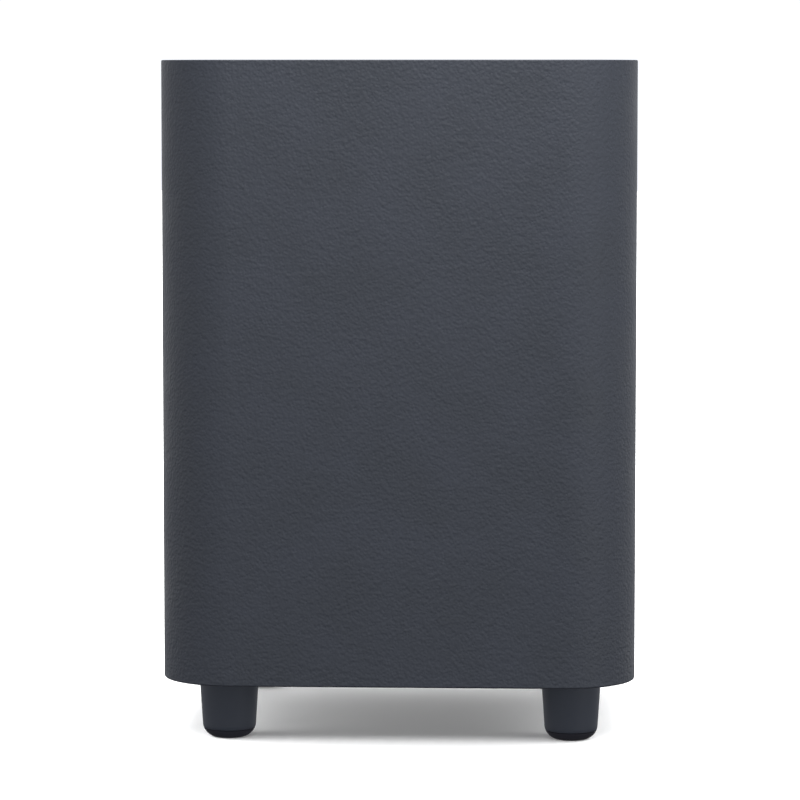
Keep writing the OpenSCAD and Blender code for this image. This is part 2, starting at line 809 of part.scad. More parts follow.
module amp_chip() {
  color([0.05, 0.05, 0.05]) on_rear(0, amp_z - amp_v) block(14, 14, board_back - 1.6, board_back);
}

module heatsink() {
  base = board_back - 1.6;
  fins = 8;
  fin_pitch = 7.2;
  color([0.7, 0.71, 0.73]) on_rear(0, amp_z - amp_v) {
    block(56, 40, base - 3, base);
    for (i = [0 : fins - 1]) translate([(i - (fins - 1) / 2) * fin_pitch, 0, 0]) block(1.6, 40, base - 20, base - 2);
  }
}

module output_inductors() {
  color([0.3, 0.3, 0.32]) for (x = [-12, 12])
    on_rear(x, amp_z - amp_v - 29) rod(7, board_back - 14, board_back);
}

module wireless_module() {
  color([0.55, 0.56, 0.55]) on_rear(22, amp_z - amp_v - 10) {
    block(24, 18, board_face, board_face + 1);
    block(16, 14, board_face + 0.5, board_face + 3);
  }
}

// Two-pin mains socket with a figure-of-eight mouth
module mains_inlet() {
  color(rubber) on_rear(0, amp_z - inlet_v) difference() {
    union() {
      block(inlet_w, inlet_h, board_face, plate_face + 0.5);
      slab(inlet_w + 2 * inlet_rim, inlet_h + 2 * inlet_rim, 2, plate_face, inlet_face);
    }
    translate([0, 0, inlet_face - socket_depth]) linear_extrude(socket_depth + 1) {
      for (x = [-1, 1]) translate([x * socket_dx, 0]) circle(socket_r);
      square([2 * socket_dx, socket_waist], center = true);
    }
    for (x = [-1, 1]) translate([x * pin_dx, 0, 0]) rod(pin_r + pin_gap, board_face - 1, inlet_face);
  }
}

module inlet_pins() {
  color(steel) on_rear(0, amp_z - inlet_v) for (x = [-1, 1]) translate([x * pin_dx, 0, 0])
    rotate_extrude() polygon([
      [0, board_face], [pin_r, board_face], [pin_r, plate_face - 1.4], [pin_r * 0.5, plate_face - 0.6],
      [0, plate_face - 0.6]
    ]);
}

// Round key that a flange keeps behind the plate
module connect_button() {
  color(moulded) on_rear(button_u, amp_z - control_v) {
    rod(button_r, button_back, plate_face + button_proud);
    rod(button_r + button_rim, button_back, button_back + button_flange_t);
  }
}

module switch_plunger() {
  color([0.85, 0.85, 0.8]) on_rear(button_u, amp_z - control_v) rod(plunger_r, plunger_end, button_back);
}

module button_switch() {
  color(rubber) on_rear(button_u, amp_z - control_v) difference() {
    block(switch_w, switch_w, board_face, switch_top);
    rod(plunger_r + plunger_gap, switch_top + switch_bore, switch_top + 1);
  }
}

// Clear rod that carries light from the board to the plate
module status_light() {
  color([0.9, 0.95, 1]) on_rear(0, amp_z - control_v) rotate_extrude() polygon([
    [0, board_face], [light_r, board_face], [light_r, plate_face + 0.2], [light_r - 0.5, plate_face + 0.6],
    [0, plate_face + 0.6]
  ]);
}

// Metal shell with a contact tongue, for service only
module service_port() {
  color(steel) on_rear(service_u, amp_z - control_v) {
    difference() {
      slab(service_w, service_h, 0.8, board_face, plate_face - 0.5);
      slab(service_w - 2 * service_t, service_h - 2 * service_t, 0.4, board_face + 1, plate_face + 1);
    }
    translate([0, -1.2, 0]) block(11.2, 1.8, board_face + 0.5, plate_face - 2);
  }
}

module plate_screws() {
  color(steel) at_plate_screws() translate([0, 0, plate_face])
    sunk_screw(wood_screw_head_r, wood_screw_head_h, wood_screw_r, wood_screw_l);
}

module housing_screws() {
  color(steel) at_housing_screws() translate([0, 0, plate_face])
    sunk_screw(wood_screw_head_r, wood_screw_head_h, wood_screw_r, housing_screw_l);
}

// Two wires from the amplifier board through the gland to the driver's terminals
module speaker_harness() {
  exit_y = cab_d / 2 - housing_depth - gland_flange_t - 4;
  z = amp_z - gland_v;
  color([0.75, 0.1, 0.1]) for (k = [-1, 1]) {
    end = [
      tab_r * cos(terminal_angle) - k * tab_dy * sin(terminal_angle),
      tab_r * sin(terminal_angle) + k * tab_dy * cos(terminal_angle),
      connector_z + connector_h + 0.2
    ];
    exit = [gland_u, exit_y, z + k * wire_dz];
    curve = [exit, exit - [0, 24, 0], end + [0, 0, 50], end];
    tube_along(concat(
      [[gland_u, cab_d / 2 + board_back, exit[2]]],
      [for (i = [0 : wire_steps]) bezier(curve, i / wire_steps)]
    ), wire_r);
  }
}

// Spade connectors pushed onto the driver's tabs
module harness_connectors() {
  slot = 0.2;
  color([0.8, 0.8, 0.78]) rotate([0, 0, terminal_angle]) for (k = [-1, 1]) translate([tab_r, k * tab_dy, 0])
    difference() {
      block(4, 7.4, connector_z, connector_z + connector_h);
      block(tab_t + 2 * slot, tab_w + 2 * slot, connector_z - 1, terminal_z + terminal_t + tab_h + 0.5);
    }
}

// Rubber ring that seals the wires where they leave the housing
module harness_gland() {
  back = -housing_depth;
  color(rubber) on_rear(gland_u, amp_z - gland_v) {
    ring(gland_bore_r, gland_hole_r - glue_gap, back - gland_flange_t, back + housing_t + gland_flange_t);
    ring(gland_bore_r, gland_flange_r, back - gland_flange_t, back);
    ring(gland_bore_r, gland_flange_r, back + housing_t, back + housing_t + gland_flange_t);
  }
}

cabinet_sleeve();
top_panel();
bottom_baffle();
window_brace();
damping_wadding();
port_mouth();
port_tube();
port_inner_flare();
foot_front_left();
foot_front_right();
foot_rear_left();
foot_rear_right();
foot_pad_front_left();
foot_pad_front_right();
foot_pad_rear_left();
foot_pad_rear_right();
foot_screws();
foot_inserts();
basket();
driver_gasket();
surround();
trim_ring();
cone();
dust_cap();
voice_coil_former();
voice_coil();
spider();
top_plate();
magnet();
yoke();
terminal_strip();
terminal_tabs();
tinsel_leads();
driver_screws();
amp_plate();
plate_gasket();
amp_housing();
power_board();
amp_board();
board_spacers();
board_screws();
transformer();
bulk_capacitors();
amp_chip();
heatsink();
output_inductors();
wireless_module();
mains_inlet();
inlet_pins();
connect_button();
switch_plunger();
button_switch();
status_light();
service_port();
plate_screws();
housing_screws();
speaker_harness();
harness_connectors();
harness_gland();
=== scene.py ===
# %% [markdown]
# # A down-firing subwoofer box
#
# The object is an upright loudspeaker box for bass only. A large driver sits in its underside and plays
# against the floor, so the box stands on four tall feet. A reflex port and an amplifier are set into the
# rear wall. The CAD model gives every piece its place and size. This lesson gives the pieces the small
# roundings, textures and finishes that make them look made rather than drawn.

# %% Load the frame
import math

import bmesh
import bpy
from mathutils import Matrix, Vector, noise
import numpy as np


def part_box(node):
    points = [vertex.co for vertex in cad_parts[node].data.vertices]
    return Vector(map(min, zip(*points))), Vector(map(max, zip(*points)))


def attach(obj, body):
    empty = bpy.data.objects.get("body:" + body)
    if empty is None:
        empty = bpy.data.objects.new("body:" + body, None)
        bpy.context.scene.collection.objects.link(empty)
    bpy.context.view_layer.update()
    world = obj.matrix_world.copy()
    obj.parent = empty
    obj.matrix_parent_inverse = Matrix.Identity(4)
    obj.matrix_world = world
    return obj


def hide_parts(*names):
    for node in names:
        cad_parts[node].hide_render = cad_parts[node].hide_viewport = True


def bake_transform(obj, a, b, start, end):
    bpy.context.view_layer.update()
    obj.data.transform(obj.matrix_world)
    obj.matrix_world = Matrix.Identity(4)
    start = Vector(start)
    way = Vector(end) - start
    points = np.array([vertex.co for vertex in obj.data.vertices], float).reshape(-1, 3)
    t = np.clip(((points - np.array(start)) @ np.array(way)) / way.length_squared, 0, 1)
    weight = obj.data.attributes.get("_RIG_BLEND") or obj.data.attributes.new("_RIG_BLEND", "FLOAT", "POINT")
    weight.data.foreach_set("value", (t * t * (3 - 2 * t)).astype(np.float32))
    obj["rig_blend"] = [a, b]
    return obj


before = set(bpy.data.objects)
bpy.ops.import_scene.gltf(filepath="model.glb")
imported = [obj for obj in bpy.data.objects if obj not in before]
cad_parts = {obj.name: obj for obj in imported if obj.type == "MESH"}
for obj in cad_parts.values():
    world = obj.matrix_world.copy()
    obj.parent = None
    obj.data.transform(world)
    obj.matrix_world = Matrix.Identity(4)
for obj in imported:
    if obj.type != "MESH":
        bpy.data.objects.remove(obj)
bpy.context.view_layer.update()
MM = 0.001

# %% [markdown]
# ## Camera
#
# The view is that of a person a little over two metres away who looks slightly down at the front. A long
# lens keeps the upright edges nearly parallel, as in a catalogue picture. The camera comes first, so that
# every later step can be rendered as soon as it is made.

# %% Camera
CAMERA_PLACE = Vector((0.1096, -2.4777, 0.4262))
CAMERA_TARGET = Vector((0.0028, -0.1525, 0.2259))
LENS_MM = 166.45
SENSOR_MM = 36


def aim(piece, place, target):
    """Stands a camera or a lamp at a place and points it at a target."""
    piece.location = place
    piece.rotation_euler = (Vector(target) - Vector(place)).to_track_quat("-Z", "Y").to_euler()


camera = bpy.data.objects.new("camera", bpy.data.cameras.new("camera"))
bpy.context.collection.objects.link(camera)
aim(camera, CAMERA_PLACE, CAMERA_TARGET)
camera.data.lens = LENS_MM
camera.data.sensor_width = SENSOR_MM
bpy.context.scene.camera = camera
bpy.context.scene.view_settings.view_transform = "Standard"
print("camera stands", round((CAMERA_TARGET - CAMERA_PLACE).length, 2), "m from the front")

# %% [markdown]
# ## Colours and nodes
#
# A hex code is written in sRGB, the scale of screens, while the renderer adds light in a linear scale, so
# every colour passes through `linear`. `add` puts one node into a tree: plain values fill its inputs,
# sockets are linked to them, and keyword values set its options.

# %% Colour and node helpers
def linear(hex_code):
    """An sRGB hex colour as a linear RGBA tuple."""
    parts = [int(hex_code[i : i + 2], 16) / 255 for i in (1, 3, 5)]
    return (*[p / 12.92 if p <= 0.04045 else ((p + 0.055) / 1.055) ** 2.4 for p in parts], 1.0)


def add(tree, kind, inputs=None, **options):
    """Adds a node, sets its options, and fills or links its inputs."""
    node = tree.nodes.new(kind)
    for name, value in options.items():
        setattr(node, name, value)
    for name, value in (inputs or {}).items():
        if isinstance(value, bpy.types.NodeSocket):
            tree.links.new(value, node.inputs[name])
        else:
            node.inputs[name].default_value = value
    return node


print("mid grey", [round(c, 3) for c in linear("#808080")])

# %% [markdown]
# ## A surface and its small marks
#
# Most finishes here share one build: a base colour that drifts slightly between two tones, a roughness
# that drifts with it, and a fine relief that the light catches. What tells them apart is the size of the
# relief, its depth and its contrast. `surface` builds that much, files the material under a short key and
# returns the parts, so a finish that has more to show, such as fibres, adds its own nodes.

# %% Surface helper
MATERIALS = {}


def surface(key, name, tones, roughness, metallic=0.0, drift_mm=40.0, ior=1.5, sockets=()):
    """A material whose colour and roughness drift slowly between two values."""
    made = MATERIALS[key] = bpy.data.materials.new(name)
    made.use_nodes = True
    tree = made.node_tree
    shader = tree.nodes["Principled BSDF"]
    for socket, value in (("Metallic", metallic), ("IOR", ior), *sockets):
        shader.inputs[socket].default_value = value
    place = add(tree, "ShaderNodeTexCoord").outputs["Object"]
    drift = add(tree, "ShaderNodeTexNoise", {"Vector": place, "Scale": 1 / (drift_mm * MM), "Detail": 3.0})
    share = add(tree, "ShaderNodeMapRange", {
        "Value": drift.outputs["Fac"], "From Min": 0.35, "From Max": 0.65,
    }).outputs[0]
    mix = add(tree, "ShaderNodeMix", {0: share, 6: linear(tones[0]), 7: linear(tones[1])}, data_type="RGBA")
    tree.links.new(mix.outputs[2], shader.inputs["Base Color"])
    rough = add(tree, "ShaderNodeMapRange", {"Value": share, "To Min": roughness[0], "To Max": roughness[1]})
    tree.links.new(rough.outputs[0], shader.inputs["Roughness"])
    return tree, shader, place, mix.outputs[2]


def relief(tree, shader, height, depth_mm, strength=1.0):
    """Turns a height from 0 to 1 into relief on the shader, on top of any relief it has."""
    bump = add(tree, "ShaderNodeBump", {"Height": height, "Distance": depth_mm * MM, "Strength": strength})
    for link in list(shader.inputs["Normal"].links):
        tree.links.new(link.from_socket, bump.inputs["Normal"])
    tree.links.new(bump.outputs[0], shader.inputs["Normal"])


def grain(tree, place, size_mm, detail=2.0, roughness=0.5):
    """Fine noise with marks of that size."""
    return add(tree, "ShaderNodeTexNoise", {
        "Vector": place, "Scale": 1 / (size_mm * MM), "Detail": detail, "Roughness": roughness,
    }).outputs["Fac"]


print("a grain of 0.5 mm is noise of scale", 1 / (0.5 * MM))

# %% [markdown]
# ## Grained vinyl
#
# The fibreboard is wrapped in PVC foil, embossed by a roller with fine pebbles. They are drawn 1.8 mm
# across, a little coarser than most, so that they still show from two metres away. Each pebble is a low
# dome with a soft shine. Painted light lifts the colour on the crests, and painted shade darkens the
# valleys between them. Voronoi cells give domes, and noise breaks their regular look. The foil has the
# usual IOR of PVC, 1.53.

# %% Vinyl
VINYL_PEBBLE_MM = 1.8
VINYL_DEPTH_MM = 0.34
VINYL_BUMP = 0.85
# Factors on the colour: painted light on the pebble crests, painted shade in the valleys between them.
VINYL_CREST_PAINTED_LIGHT, VINYL_VALLEY_PAINTED_SHADE = 1.05, 0.94

# PVC foil: a slate-grey skin with a leathery grain and a broad, soft sheen.
tree, shader, place, colour = surface(
    "vinyl", "grained_pvc_foil", ("#383c44", "#3b3f48"), (0.5, 0.56), ior=1.53,
    sockets=[("Specular IOR Level", 0.4)],
)
cells = add(tree, "ShaderNodeTexVoronoi", {
    "Vector": place, "Scale": 1 / (VINYL_PEBBLE_MM * MM),
}, feature="SMOOTH_F1")
wander = grain(tree, place, 2.0 * VINYL_PEBBLE_MM)
domes = add(tree, "ShaderNodeMath", {0: cells.outputs["Distance"], 1: wander}, operation="ADD").outputs[0]
relief(tree, shader, domes, VINYL_DEPTH_MM, VINYL_BUMP)
# Painted light and shade: the colour is multiplied up on the crests and down in the valleys between pebbles.
pebble_painted_light_and_shade = add(tree, "ShaderNodeMapRange", {
    "Value": domes, "From Min": 0.5, "From Max": 1.3, "To Min": VINYL_CREST_PAINTED_LIGHT, "To Max": VINYL_VALLEY_PAINTED_SHADE,
})
shade = add(tree, "ShaderNodeMix", {
    0: 1.0, 6: colour, 7: pebble_painted_light_and_shade.outputs[0],
}, data_type="RGBA", blend_type="MULTIPLY")
tree.links.new(shade.outputs[2], shader.inputs["Base Color"])
print("foil with pebbles of", VINYL_PEBBLE_MM, "mm")

# %% [markdown]
# ## Board, plastic, rubber and metal
#
# The other finishes of the box have one even grain each, taken from the real size of their marks. Every
# row holds a key, a name, two tones, a range of roughness, the size and depth of the grain in millimetres,
# and what is special about it. The comment above a row says what the finish gives the eye.

# %% Common finishes
ABS = {"ior": 1.53}
RUBBER = {"ior": 1.52}


def metal(drift_mm, metallic=1.0):
    """What sets a metal apart: it mirrors, and its tone drifts over a short distance."""
    return {"metallic": metallic, "drift_mm": drift_mm}


def drifting(drift_mm):
    """A finish that is not metal and whose tone drifts over that distance."""
    return {"drift_mm": drift_mm}


for key, name, tones, roughness, grain_mm, depth_mm, more in (
    # Fibreboard: a brown felt of short fibres, dull and dry.
    ("board", "bare_fibreboard", ("#8a6f52", "#9c8060"), (0.8, 0.95), 0.8, 0.10, drifting(6)),
    # Foot ABS: a slate grey like the foil, but smooth, with a soft vertical shine.
    ("foot_abs", "moulded_abs_of_the_feet", ("#383d48", "#3c414c"), (0.5, 0.58), 0.5, 0.02, ABS),
    # Plate ABS: a black matt skin with the fine texture of an eroded mould.
    ("panel_abs", "spark_eroded_abs", ("#191a1d", "#1e1f22"), (0.5, 0.6), 0.45, 0.05, ABS),
    # Port ABS: black and half matt, so the bell shows a smooth turn of light.
    ("port_abs", "moulded_abs_of_the_port", ("#1c1d20", "#202225"), (0.38, 0.46), 0.5, 0.015, ABS),
    # Satin ABS: the shinier black of touched parts, with crisp edges.
    ("gloss_abs", "satin_abs", ("#15161a", "#191a1e"), (0.25, 0.32), 0.3, 0.006, ABS),
    # Sole rubber: a dull near-black that ends the foot in a dark rim.
    ("rubber", "natural_rubber_of_the_soles", ("#26252e", "#2d2c36"), (0.65, 0.8), 0.7, 0.03, RUBBER),
    # Surround rubber: black with a soft sheen along the roll.
    ("roll_rubber", "butyl_rubber_of_the_surround", ("#141416", "#18181a"), (0.45, 0.58), 0.9, 0.012,
     RUBBER),
    # Foam: a charcoal strip with open pores and no shine.
    ("foam", "closed_cell_foam", ("#1a1a1b", "#222223"), (0.85, 0.95), 0.6, 0.12, drifting(5)),
    # Powder coat: satin black with a faint orange peel.
    ("powder_coat", "powder_coated_steel", ("#101113", "#151618"), (0.32, 0.42), 1.5, 0.03, {}),
    # Black zinc: dark metal with a small glint on each screw.
    ("black_zinc", "black_zinc_on_screws", ("#1f2024", "#2a2b30"), (0.3, 0.45), 0.5, 0.01, metal(3, 0.9)),
    # Nickel: bright, slightly warm pins.
    ("nickel", "nickel_plated_brass", ("#c9c4b4", "#d8d3c4"), (0.12, 0.2), 0.5, 0.004, metal(4)),
    # Brass: yellow metal, dulled by the tool.
    ("brass", "turned_brass", ("#b08d4a", "#c39f5a"), (0.25, 0.38), 0.4, 0.01, metal(5)),
    # Mild steel: a plain grey with a broad highlight.
    ("steel", "turned_mild_steel", ("#8f9194", "#9b9da0"), (0.36, 0.42), 0.8, 0.015, metal(12)),
    # Tinned sheet: light and slightly wavy, as a folded shield is.
    ("tin", "tinned_steel_sheet", ("#a9aaa8", "#bcbdbb"), (0.22, 0.35), 1.2, 0.01, metal(7)),
    # Aluminium: pale and silky.
    ("aluminium", "extruded_aluminium", ("#a5a7aa", "#b6b8bb"), (0.3, 0.42), 0.6, 0.015, metal(15)),
    # Ferrite: a ceramic black, dusty and rough.
    ("ferrite", "sintered_ferrite", ("#2b2b2d", "#37373a"), (0.6, 0.8), 0.9, 0.08, drifting(8)),
    # Core: varnished dark iron sheets.
    ("core", "laminated_transformer_core", ("#2f2b26", "#3b362f"), (0.5, 0.7), 0.6, 0.05, drifting(6)),
    # Epoxy: the matt black of chips.
    ("resin", "moulded_epoxy", ("#121214", "#18181a"), (0.45, 0.6), 0.3, 0.02, drifting(4)),
    # Nylon: cream white and waxy.
    ("nylon", "natural_nylon", ("#d5d1c3", "#dedacd"), (0.4, 0.5), 0.6, 0.01, {"drift_mm": 6, "ior": 1.53}),
    # Phenolic board: a hard brown card.
    ("phenolic", "phenolic_paper_board", ("#5f3f22", "#6f4b2a"), (0.4, 0.55), 0.5, 0.02, drifting(5)),
    # Capacitor sleeve: tight dark blue film with a clear highlight.
    ("sleeve", "pvc_capacitor_sleeve", ("#14161f", "#191c27"), (0.22, 0.3), 1.0, 0.006, drifting(8)),
    # Wire: the one red thing in the box.
    ("wire_red", "red_pvc_wire", ("#8a1410", "#9c1b15"), (0.35, 0.45), 0.8, 0.01, drifting(8)),
    # Paper pulp: a black felt that takes the light without a shine.
    ("cone_paper", "pressed_paper_pulp", ("#17181a", "#202123"), (0.75, 0.9), 1.1, 0.09, drifting(14)),
):
    tree, shader, place, _ = surface(key, name, tones, roughness, **more)
    relief(tree, shader, grain(tree, place, grain_mm, 3.0, 0.6), depth_mm)
print(len(MATERIALS), "finishes")

# %% [markdown]
# ## Floor and light
#
# A studio sweep: a pale floor without an edge in sight, an even white surround, one broad soft light above
# and before the box, and a weaker one from the right. The broad light falls off down the front, so the
# front is lighter at its top, and the right-hand corner is lighter than the left.

# %% Floor
def link(name, data):
    """An object for a mesh or a lamp, in the scene."""
    made = bpy.data.objects.new(name, data)
    bpy.context.collection.objects.link(made)
    return made


def mesh_of(name, verts, faces):
    """A mesh from plain lists."""
    mesh = bpy.data.meshes.new(name)
    mesh.from_pydata([tuple(v) for v in verts], [], faces)
    mesh.update()
    return mesh


def evenly(first, last, steps):
    """Values from first to last in equal steps."""
    return [first + (last - first) * k / steps for k in range(steps + 1)]


FLOOR_HALF = 12.0
FLOOR_STEPS = 24
FLOOR_GLOW = 0.155
row = FLOOR_STEPS + 1
side = evenly(-FLOOR_HALF, FLOOR_HALF, FLOOR_STEPS)
squares = [(k, k + 1, k + row + 1, k + row) for k in range(row * FLOOR_STEPS) if k % row < FLOOR_STEPS]
floor = link("studio_floor", mesh_of("studio_floor", [(x, y, 0) for y in side for x in side], squares))

# Paper: an even white that takes the shadow and nothing else.
tree, shader, place, _ = surface(
    "paper", "matt_white_paper", ("#f4f4f4", "#f7f7f7"), (0.9, 0.95), drift_mm=900,
    sockets=[
        ("Specular IOR Level", 0.0), ("Emission Color", (1, 1, 1, 1)), ("Emission Strength", FLOOR_GLOW),
    ],
)
relief(tree, shader, grain(tree, place, 3.0), 0.02)
floor.data.materials.append(MATERIALS["paper"])
floor.visible_diffuse = False
floor.visible_glossy = False
print("floor", 2 * FLOOR_HALF, "m wide")

# %% Sky
# Brightness of the surround below, at and above the horizon.
LOWER, HORIZON, UPPER = 0.12, 1.0, 0.35
SKY_STRENGTH = 1.02


def cool(level):
    """A slightly cool white of that brightness."""
    return tuple(level * c for c in (1.0, 1.02, 1.07)) + (1,)


world = bpy.data.worlds.new("studio")
world.use_nodes = True
tree = world.node_tree
ray = add(tree, "ShaderNodeTexCoord").outputs["Generated"]
height = add(tree, "ShaderNodeSeparateXYZ", {0: ray}).outputs["Z"]
upward = add(tree, "ShaderNodeMapRange", {"Value": height, "From Min": -1.0}).outputs[0]
sky = add(tree, "ShaderNodeValToRGB", {0: upward})
stops = sky.color_ramp.elements
stops[0].position, stops[0].color = 0.40, cool(LOWER)
stops[1].position, stops[1].color = 0.64, cool(UPPER)
for position in (0.42, 0.58):
    stops.new(position).color = cool(HORIZON)
background = tree.nodes["Background"]
tree.links.new(sky.outputs[0], background.inputs["Color"])
background.inputs["Strength"].default_value = SKY_STRENGTH
bpy.context.scene.world = world
print("surround", LOWER, "below,", HORIZON, "at the horizon,", UPPER, "above")


# %% Lamps
def soft_light(name, place, target, width, height, watts):
    """A broad light that the camera doesn't see."""
    lamp = bpy.data.lights.new(name, "AREA")
    lamp.shape = "RECTANGLE"
    lamp.size, lamp.size_y = width, height
    lamp.energy = watts
    made = link(name, lamp)
    aim(made, place, target)
    made.visible_camera = False


def far_light(name, azimuth, elevation, strength, spread, only=None):
    """A large lamp far away, from a compass angle about the front and a height in degrees."""
    lamp = bpy.data.lights.new(name, "SUN")
    lamp.energy = strength
    lamp.angle = math.radians(spread)
    made = link(name, lamp)
    a, e = math.radians(azimuth), math.radians(elevation)
    towards = Vector((math.sin(a) * math.cos(e), -math.cos(a) * math.cos(e), math.sin(e)))
    aim(made, (0, 0, 0), -towards)
    if only:
        made.light_linking.receiver_collection = only


soft_light("key", (0.22, -0.62, 0.98), (0.02, -0.15, 0.40), 0.8, 0.5, 7)
soft_light("low_fill", (0.85, -0.75, 0.06), (0.12, -0.10, 0.08), 0.3, 0.3, 0.8)
floor_only = bpy.data.collections.new("floor_only")
floor_only.objects.link(floor)
far_light("overhead", 180, 80, 1.6, 35)
# These four reach the floor alone, which keeps it white all round the box.
for azimuth, elevation, strength, spread in (
    (0, 40, 3.0, 20), (90, 40, 2.7, 45), (270, 32, 3.1, 45), (180, 29, 3.2, 45),
):
    far_light("floor_wash_%d" % azimuth, azimuth, elevation, strength, spread, floor_only)

# %% [markdown]
# ## Two ways to a turned or lofted shape
#
# Nearly every moulded piece here is either turned, so it has one outline round an axis, or drawn along a
# rounded square. Both can be made as rings of points joined by quads. `rings_to_bmesh` joins them, closes
# the loop for a hollow piece, and lets Blender turn all the faces outwards.

# %% Ring builder
def rings_to_bmesh(rings, closed):
    """Quads between rings of equally many points. A closed list joins the last ring to the first."""
    bm = bmesh.new()
    rows = [[bm.verts.new(point) for point in ring] for ring in rings]
    pairs = list(zip(rows, rows[1:] + rows[:1]))
    if not closed:
        pairs = pairs[:-1]
    for a, b in pairs:
        for k in range(max(len(a), len(b))):
            corners = [a[k % len(a)], a[(k + 1) % len(a)], b[(k + 1) % len(b)], b[k % len(b)]]
            unique = list(dict.fromkeys(corners))
            if len(unique) > 2:
                bm.faces.new(unique)
    bmesh.ops.recalc_face_normals(bm, faces=bm.faces)
    return bm


def plug_of(rings):
    """Rings joined into a plug whose two ends are filled."""
    bm = rings_to_bmesh(rings, False)
    bmesh.ops.holes_fill(bm, edges=[e for e in bm.edges if e.is_boundary], sides=0)
    bmesh.ops.recalc_face_normals(bm, faces=bm.faces)
    return bm


def circle_ring(radius, height, count, centre=(0, 0), along_y=False):
    """Points of a circle round Z, or round Y where the height counts along +Y and centre is (x, z)."""
    angles = [2 * math.pi * k / count for k in range(count)] if radius else [0.0]
    flat = [(centre[0] + radius * math.cos(a), centre[1] + radius * math.sin(a)) for a in angles]
    return [(x, height, y) if along_y else (x, y, height) for x, y in flat]


def square_ring(half_x, half_y, radius, height, corner_steps, centre=(0, 0), along_y=False):
    """Points of a rounded rectangle, with the same number of points in each corner."""
    points = []
    for corner, (sx, sy) in enumerate(((1, 1), (-1, 1), (-1, -1), (1, -1))):
        for k in range(corner_steps + 1):
            a = math.pi / 2 * (corner + k / corner_steps)
            x = centre[0] + sx * (half_x - radius) + radius * math.cos(a)
            y = centre[1] + sy * (half_y - radius) + radius * math.sin(a)
            points.append((x, height, y) if along_y else (x, y, height))
    return points


def rounded(outline, radius, steps=4):
    """A closed outline whose corners (r, h, share) are rounded by that share of the radius."""
    result = []
    for i, (r, h, share) in enumerate(outline):
        here = Vector((r, h))
        before = Vector(outline[i - 1][:2]) - here
        after = Vector(outline[(i + 1) % len(outline)][:2]) - here
        reach = min(radius * share, before.length * 0.48, after.length * 0.48)
        a = here + before.normalized() * reach
        b = here + after.normalized() * reach
        for t in evenly(0, 1, steps):
            result.append(tuple(a * (1 - t) ** 2 + here * 2 * t * (1 - t) + b * t * t))
    return result


# %% Meshes and pieces
def mesh_from(bm, name):
    """A mesh from a bmesh, which is used up."""
    mesh = bpy.data.meshes.new(name)
    bm.to_mesh(mesh)
    bm.free()
    return mesh


def piece_from(bm, name):
    """An object from a bmesh."""
    return link(name, mesh_from(bm, name))


def merged(parts):
    """Several bmeshes in one."""
    whole = bmesh.new()
    for part in parts:
        mesh = mesh_from(part, "part")
        whole.from_mesh(mesh)
        bpy.data.meshes.remove(mesh)
    return whole


def turned(name, outline_mm, count=128, centre=(0, 0), along_y=False, closed=True):
    """A piece turned from an outline in millimetres."""
    rings = [circle_ring(r * MM, h * MM, count, centre, along_y) for r, h in outline_mm]
    return piece_from(rings_to_bmesh(rings, closed), name)


def made_plain(piece):
    """The mesh of a piece with its modifiers worked in and taken off."""
    bpy.context.view_layer.update()
    mesh = bpy.data.meshes.new_from_object(piece.evaluated_get(bpy.context.evaluated_depsgraph_get()))
    piece.modifiers.clear()
    return mesh


# %% Finishing a piece
def even_normals(piece, angle):
    """Smooth shading with true edges, and large faces that stay flat."""
    bm = bmesh.new()
    bm.from_mesh(piece.data)
    for face in bm.faces:
        face.smooth = True
    for edge in bm.edges:
        edge.smooth = len(edge.link_faces) == 2 and edge.calc_face_angle(0) < math.radians(angle)
    bm.to_mesh(piece.data)
    bm.free()
    weighted = piece.modifiers.new("even_normals", "WEIGHTED_NORMAL")
    weighted.keep_sharp = True


def finish_piece(piece, finish, nodes=(), angle=35, body="cabinet"):
    """Material, shading and everything the frame wants to know of a piece."""
    if finish:
        piece.data.materials.clear()
        piece.data.materials.append(MATERIALS[finish])
    even_normals(piece, angle)
    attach(piece, body)
    if nodes:
        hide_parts(*nodes)
    return piece


# %% [markdown]
# ## Cabinet wall
#
# On the real box a sheet of fibreboard is grooved, folded round and glued, then wrapped, so the upright
# corners are large soft curves and only the two ends show an edge. The wall is a loft: one outline, thin at
# the rebates, drawn round the rounded square. The top edge is nearly sharp and the lower edge a little
# rounder. The cut-outs for the port and the amplifier are taken out with a Boolean, as a router would.

# %% Cabinet wall
def span(node, axis):
    """Both ends of a CAD node along an axis (0, 1 or 2), in millimetres."""
    low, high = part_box(node)
    return low[axis] / MM, high[axis] / MM


def middle(node, axis):
    """The middle of a CAD node along an axis, in metres."""
    low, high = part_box(node)
    return (low[axis] + high[axis]) / 2


low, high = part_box("cabinet_sleeve")
WIDTH, DEPTH = (high[0] - low[0]) / MM, (high[1] - low[1]) / MM
BASE, TOP = span("cabinet_sleeve", 2)
CORNER, CORNER_STEPS = 47.4, 24
WALL, LIP, REBATE = 15.0, 4.0, 8.0
TOP_ROUND, BASE_ROUND = 0.8, 1.2


def wall_ring(inset, height):
    """The cabinet's outline, taken in by an inset, at a height in millimetres."""
    half_x, half_y, radius = [(size - inset) * MM for size in (WIDTH / 2, DEPTH / 2, CORNER)]
    return square_ring(half_x, half_y, radius, height * MM, CORNER_STEPS)


def arc(centre, radius, first, last, steps):
    """Points (inset, height) of an arc, with angles in degrees from the outward direction."""
    angles = [math.radians(a) for a in evenly(first, last, steps)]
    return [(centre[0] - radius * math.cos(a), centre[1] + radius * math.sin(a)) for a in angles]


wall_outline = [(LIP, BASE)]
wall_outline += arc((BASE_ROUND, BASE + BASE_ROUND), BASE_ROUND, -90, 0, 5)
wall_outline += arc((TOP_ROUND, TOP - TOP_ROUND), TOP_ROUND, 0, 90, 4)
wall_outline += [(LIP - 0.3, TOP), (LIP, TOP - 0.3), (LIP, TOP - REBATE), (WALL, TOP - REBATE)]
wall_outline += [(WALL, BASE + REBATE), (LIP, BASE + REBATE)]
wall = piece_from(rings_to_bmesh([wall_ring(i, h) for i, h in wall_outline], True), "cabinet_wall")
print("wall", len(wall.data.polygons), "faces")

